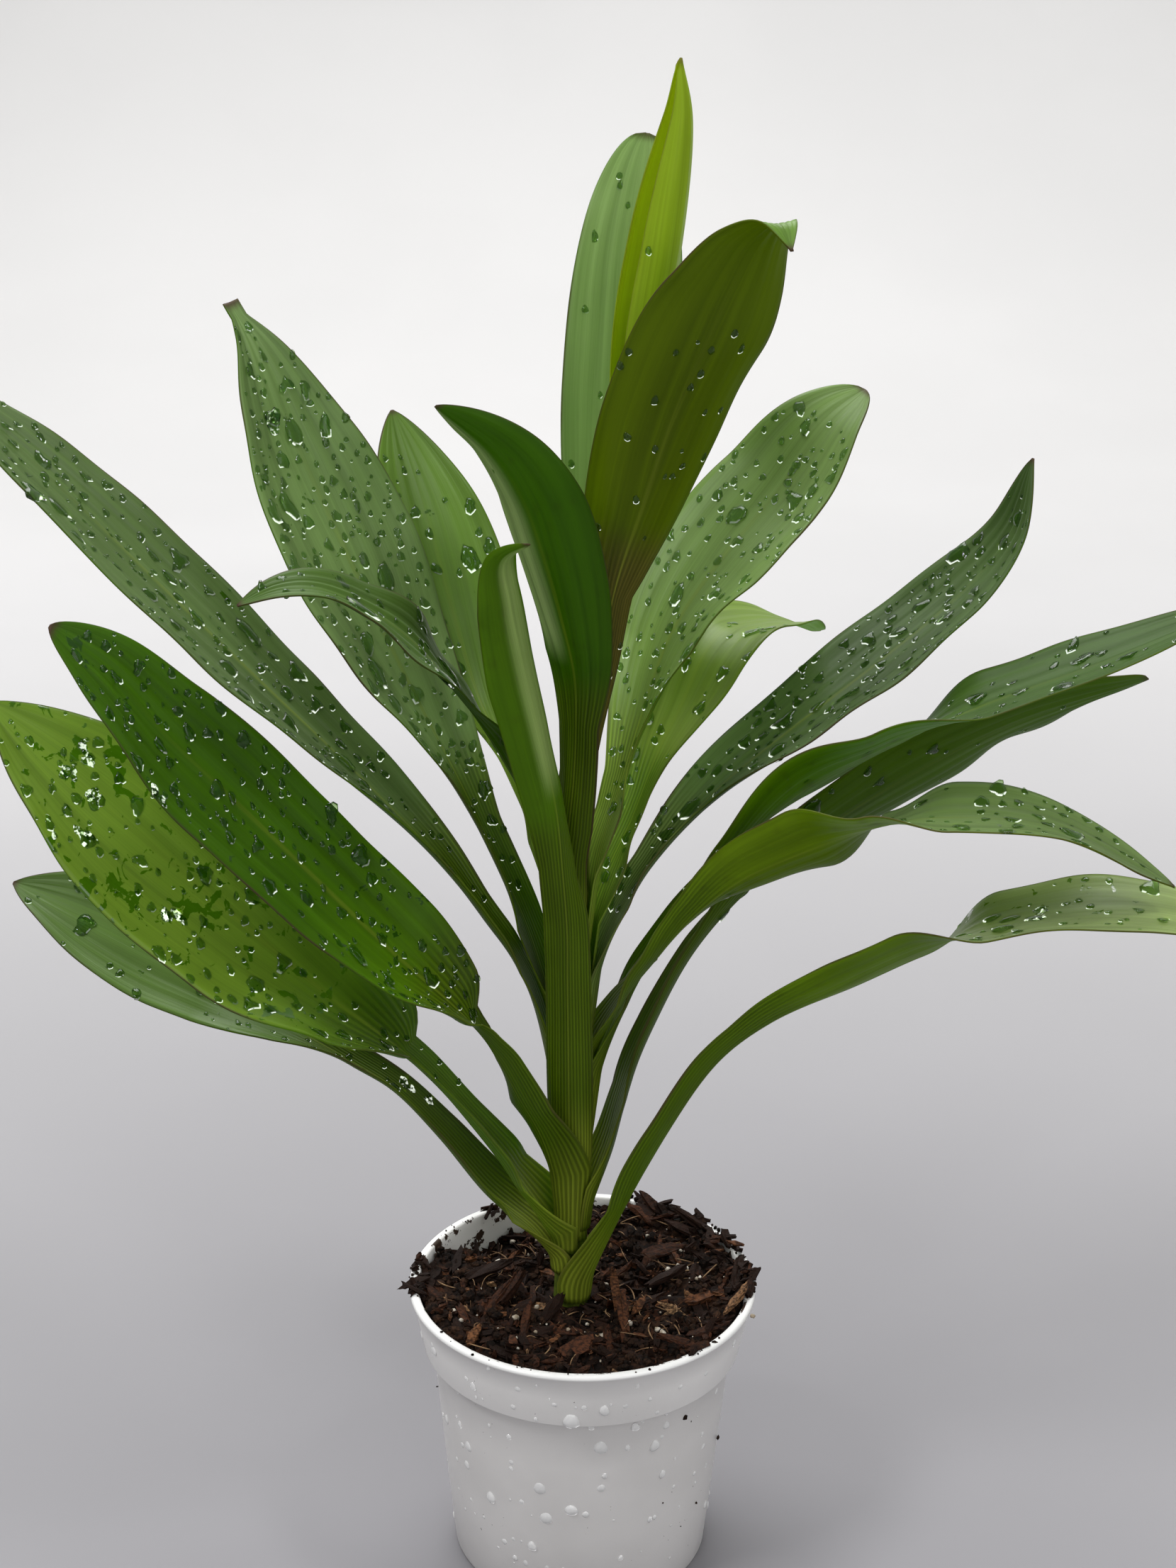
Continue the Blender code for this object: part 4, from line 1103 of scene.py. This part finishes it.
def onSurface(grid, row, column, spot, back=0):
    # a place on the upper face over a spot of the middle surface, and the way that face looks
    along = Vector(grid[row + 1, column] - grid[row - 1, column])
    facing = along.cross(Vector(grid[row, column + 1] - grid[row, column - back])).normalized()
    return Vector(spot) * mm + facing * detail["thickness"] / 2 * mm, facing


def onLeaf(node, px, py):
    # the spot of a leaf that a pixel shows
    grid = surfaces[[leaf["node"] for leaf in leaves].index(node)][0]
    right, up, ahead = (np.array(axis) for axis in cameraAxes())
    offset = grid * mm - np.array(eye)
    depth = offset @ ahead
    gap = np.hypot(offset @ right / depth * focal - (px - imageWidth / 2),
                   offset @ up / depth * focal + (py - imageHeight / 2))
    row, column = np.unravel_index(np.argmin(gap), gap.shape)
    row, column = within(row, 1, grid.shape[0] - 2), within(column, 1, grid.shape[1] - 2)
    return onSurface(grid, row, column, grid[row, column], back=1)


def buildWater(material):
    rng = random.Random(77)
    bm = gathering("low", "top", "spark")
    total = 0
    for (grid, facts), leaf in zip(surfaces, leaves):
        rows, columns = grid.shape[0] - 1, grid.shape[1] - 1
        weights = facts["half"] * np.gradient(facts["dist"])
        inRange = (facts["run"] > leaf["dropRun"][0]) & (facts["run"] < leaf["dropRun"][1])
        weights = np.cumsum(np.where(inRange, weights, 0))
        weights /= weights[-1]
        taken = []
        tries = 0
        while len(taken) < leaf["drops"] and tries < leaf["drops"] * 12:
            tries += 1
            row = int(np.searchsorted(weights, rng.random()))
            column = rng.uniform(0.5, columns - 0.5)
            row, low = within(row, 1, rows - 1), int(column)
            spot = grid[row, low] * (1 - (column - low)) + grid[row, low + 1] * (column - low)
            size = min(water["small"] + rng.expovariate(1 / water["spread"]), leaf["dropSize"])
            size = min(size, facts["half"][row] * 0.3)
            if (1 - abs(column / columns * 2 - 1)) * facts["half"][row] < 0.7 * size:
                continue
            if any(sum((a - b) ** 2 for a, b in zip(spot, t)) < (water["apart"] * (size + t[3])) ** 2 for t in taken):
                continue
            taken.append((*spot, size))
            place, facing = onSurface(grid, row, low, spot)
            if leaf["dropSide"] == "under":
                place, facing = Vector(spot) * mm - facing * detail["thickness"] / 2 * mm, -facing
            height = rng.uniform(*water["tallest" if size < water["flatFrom"] else "flat"])
            addDrop(bm, rng, place, facing, size, rng.uniform(1.0, 1.6), height)
        total += len(taken)
    for node, px, py, reach, breadth, count in films:
        for _ in range(count):
            along, across = rng.uniform(-reach, reach), rng.uniform(-breadth, breadth)
            place, facing = onLeaf(node, px + 0.7 * (along - across), py + 0.7 * (along + across))
            addDrop(bm, rng, place, facing, rng.uniform(*water["filmSize"]), rng.uniform(1.0, 1.5), 0.1, film=True)
    newPiece("waterOnLeaves", bm, [material])
    print("drops on leaves:", total)


# drops on the pot one by one: pixel and width in mm
potDrops = [
    (806, 2004, 5.0), (834, 2013, 2.0), (847, 2040, 5.0), (762, 2098, 4.4), (771, 2140, 4.8), (693, 2112, 3.6),
    (661, 2040, 3.0), (653, 2038, 1.8), (659, 2066, 2.6), (806, 2130, 3.8), (826, 2136, 2.2), (848, 2098, 3.2),
    (774, 2074, 2.2), (882, 1982, 2.6), (880, 1972, 2.0), (811, 1968, 2.4), (731, 1958, 2.4), (724, 1984, 1.8),
    (940, 2010, 2.4), (933, 2026, 2.0), (885, 2042, 1.8), (991, 2040, 2.4), (995, 1936, 2.2), (922, 1951, 1.8),
    (718, 2027, 1.8), (722, 2062, 2.0), (712, 2174, 2.2), (725, 2170, 1.8), (736, 2118, 1.8), (658, 1944, 1.6),
    (850, 1975, 1.6), (906, 2005, 1.6), (927, 1992, 1.4), (824, 1985, 2.0), (782, 1981, 1.6), (676, 1945, 1.4),
    (692, 1967, 1.2), (960, 1956, 1.4), (945, 1988, 1.2), (1010, 1962, 1.6), (742, 2204, 2.2), (772, 2210, 2.0),
    (853, 2165, 1.8), (950, 2097, 1.4), (979, 2078, 1.6), (963, 2050, 1.6), (665, 2115, 1.4), (667, 2130, 1.2),
]


def buildPotWater(material):
    rng = random.Random(9)
    bm = gathering("low", "top", "spark")
    for px, py, size in potDrops:
        spot, facing = onPot(px, py)
        addDrop(bm, rng, spot, facing, size * water["potShare"], rng.uniform(1.0, 1.3), rng.uniform(0.4, 0.55), 0.3)
    for _ in range(water["potDrops"]):
        angle, z = rng.uniform(0, fullTurn), rng.uniform(4, 100)
        size = min(0.3 + rng.expovariate(2.2), 1.8)
        away = Vector((math.cos(angle), math.sin(angle), 0))
        spot = away * outerRadius(z) * mm + Vector((0, 0, z * mm))
        addDrop(bm, rng, spot, wallFacing(away), size, rng.uniform(1.0, 1.5), rng.uniform(0.3, 0.5), 0.3)
    newPiece("waterOnPot", bm, [material])


# painted shade: the green tone darkens the drops on the leaves
buildWater(waterMaterial("clearWater", 1.0, (0.52, 0.76, 0.34), (0.92, 0.96, 0.88)))
# painted light: the white tone and grey glint lighten the drops on the pot
buildPotWater(waterMaterial("potWater", 0.25, (1.0, 1.0, 1.0), (0.42, 0.42, 0.42)))
print("water added")

bpy.data.meshes.remove(scratch)
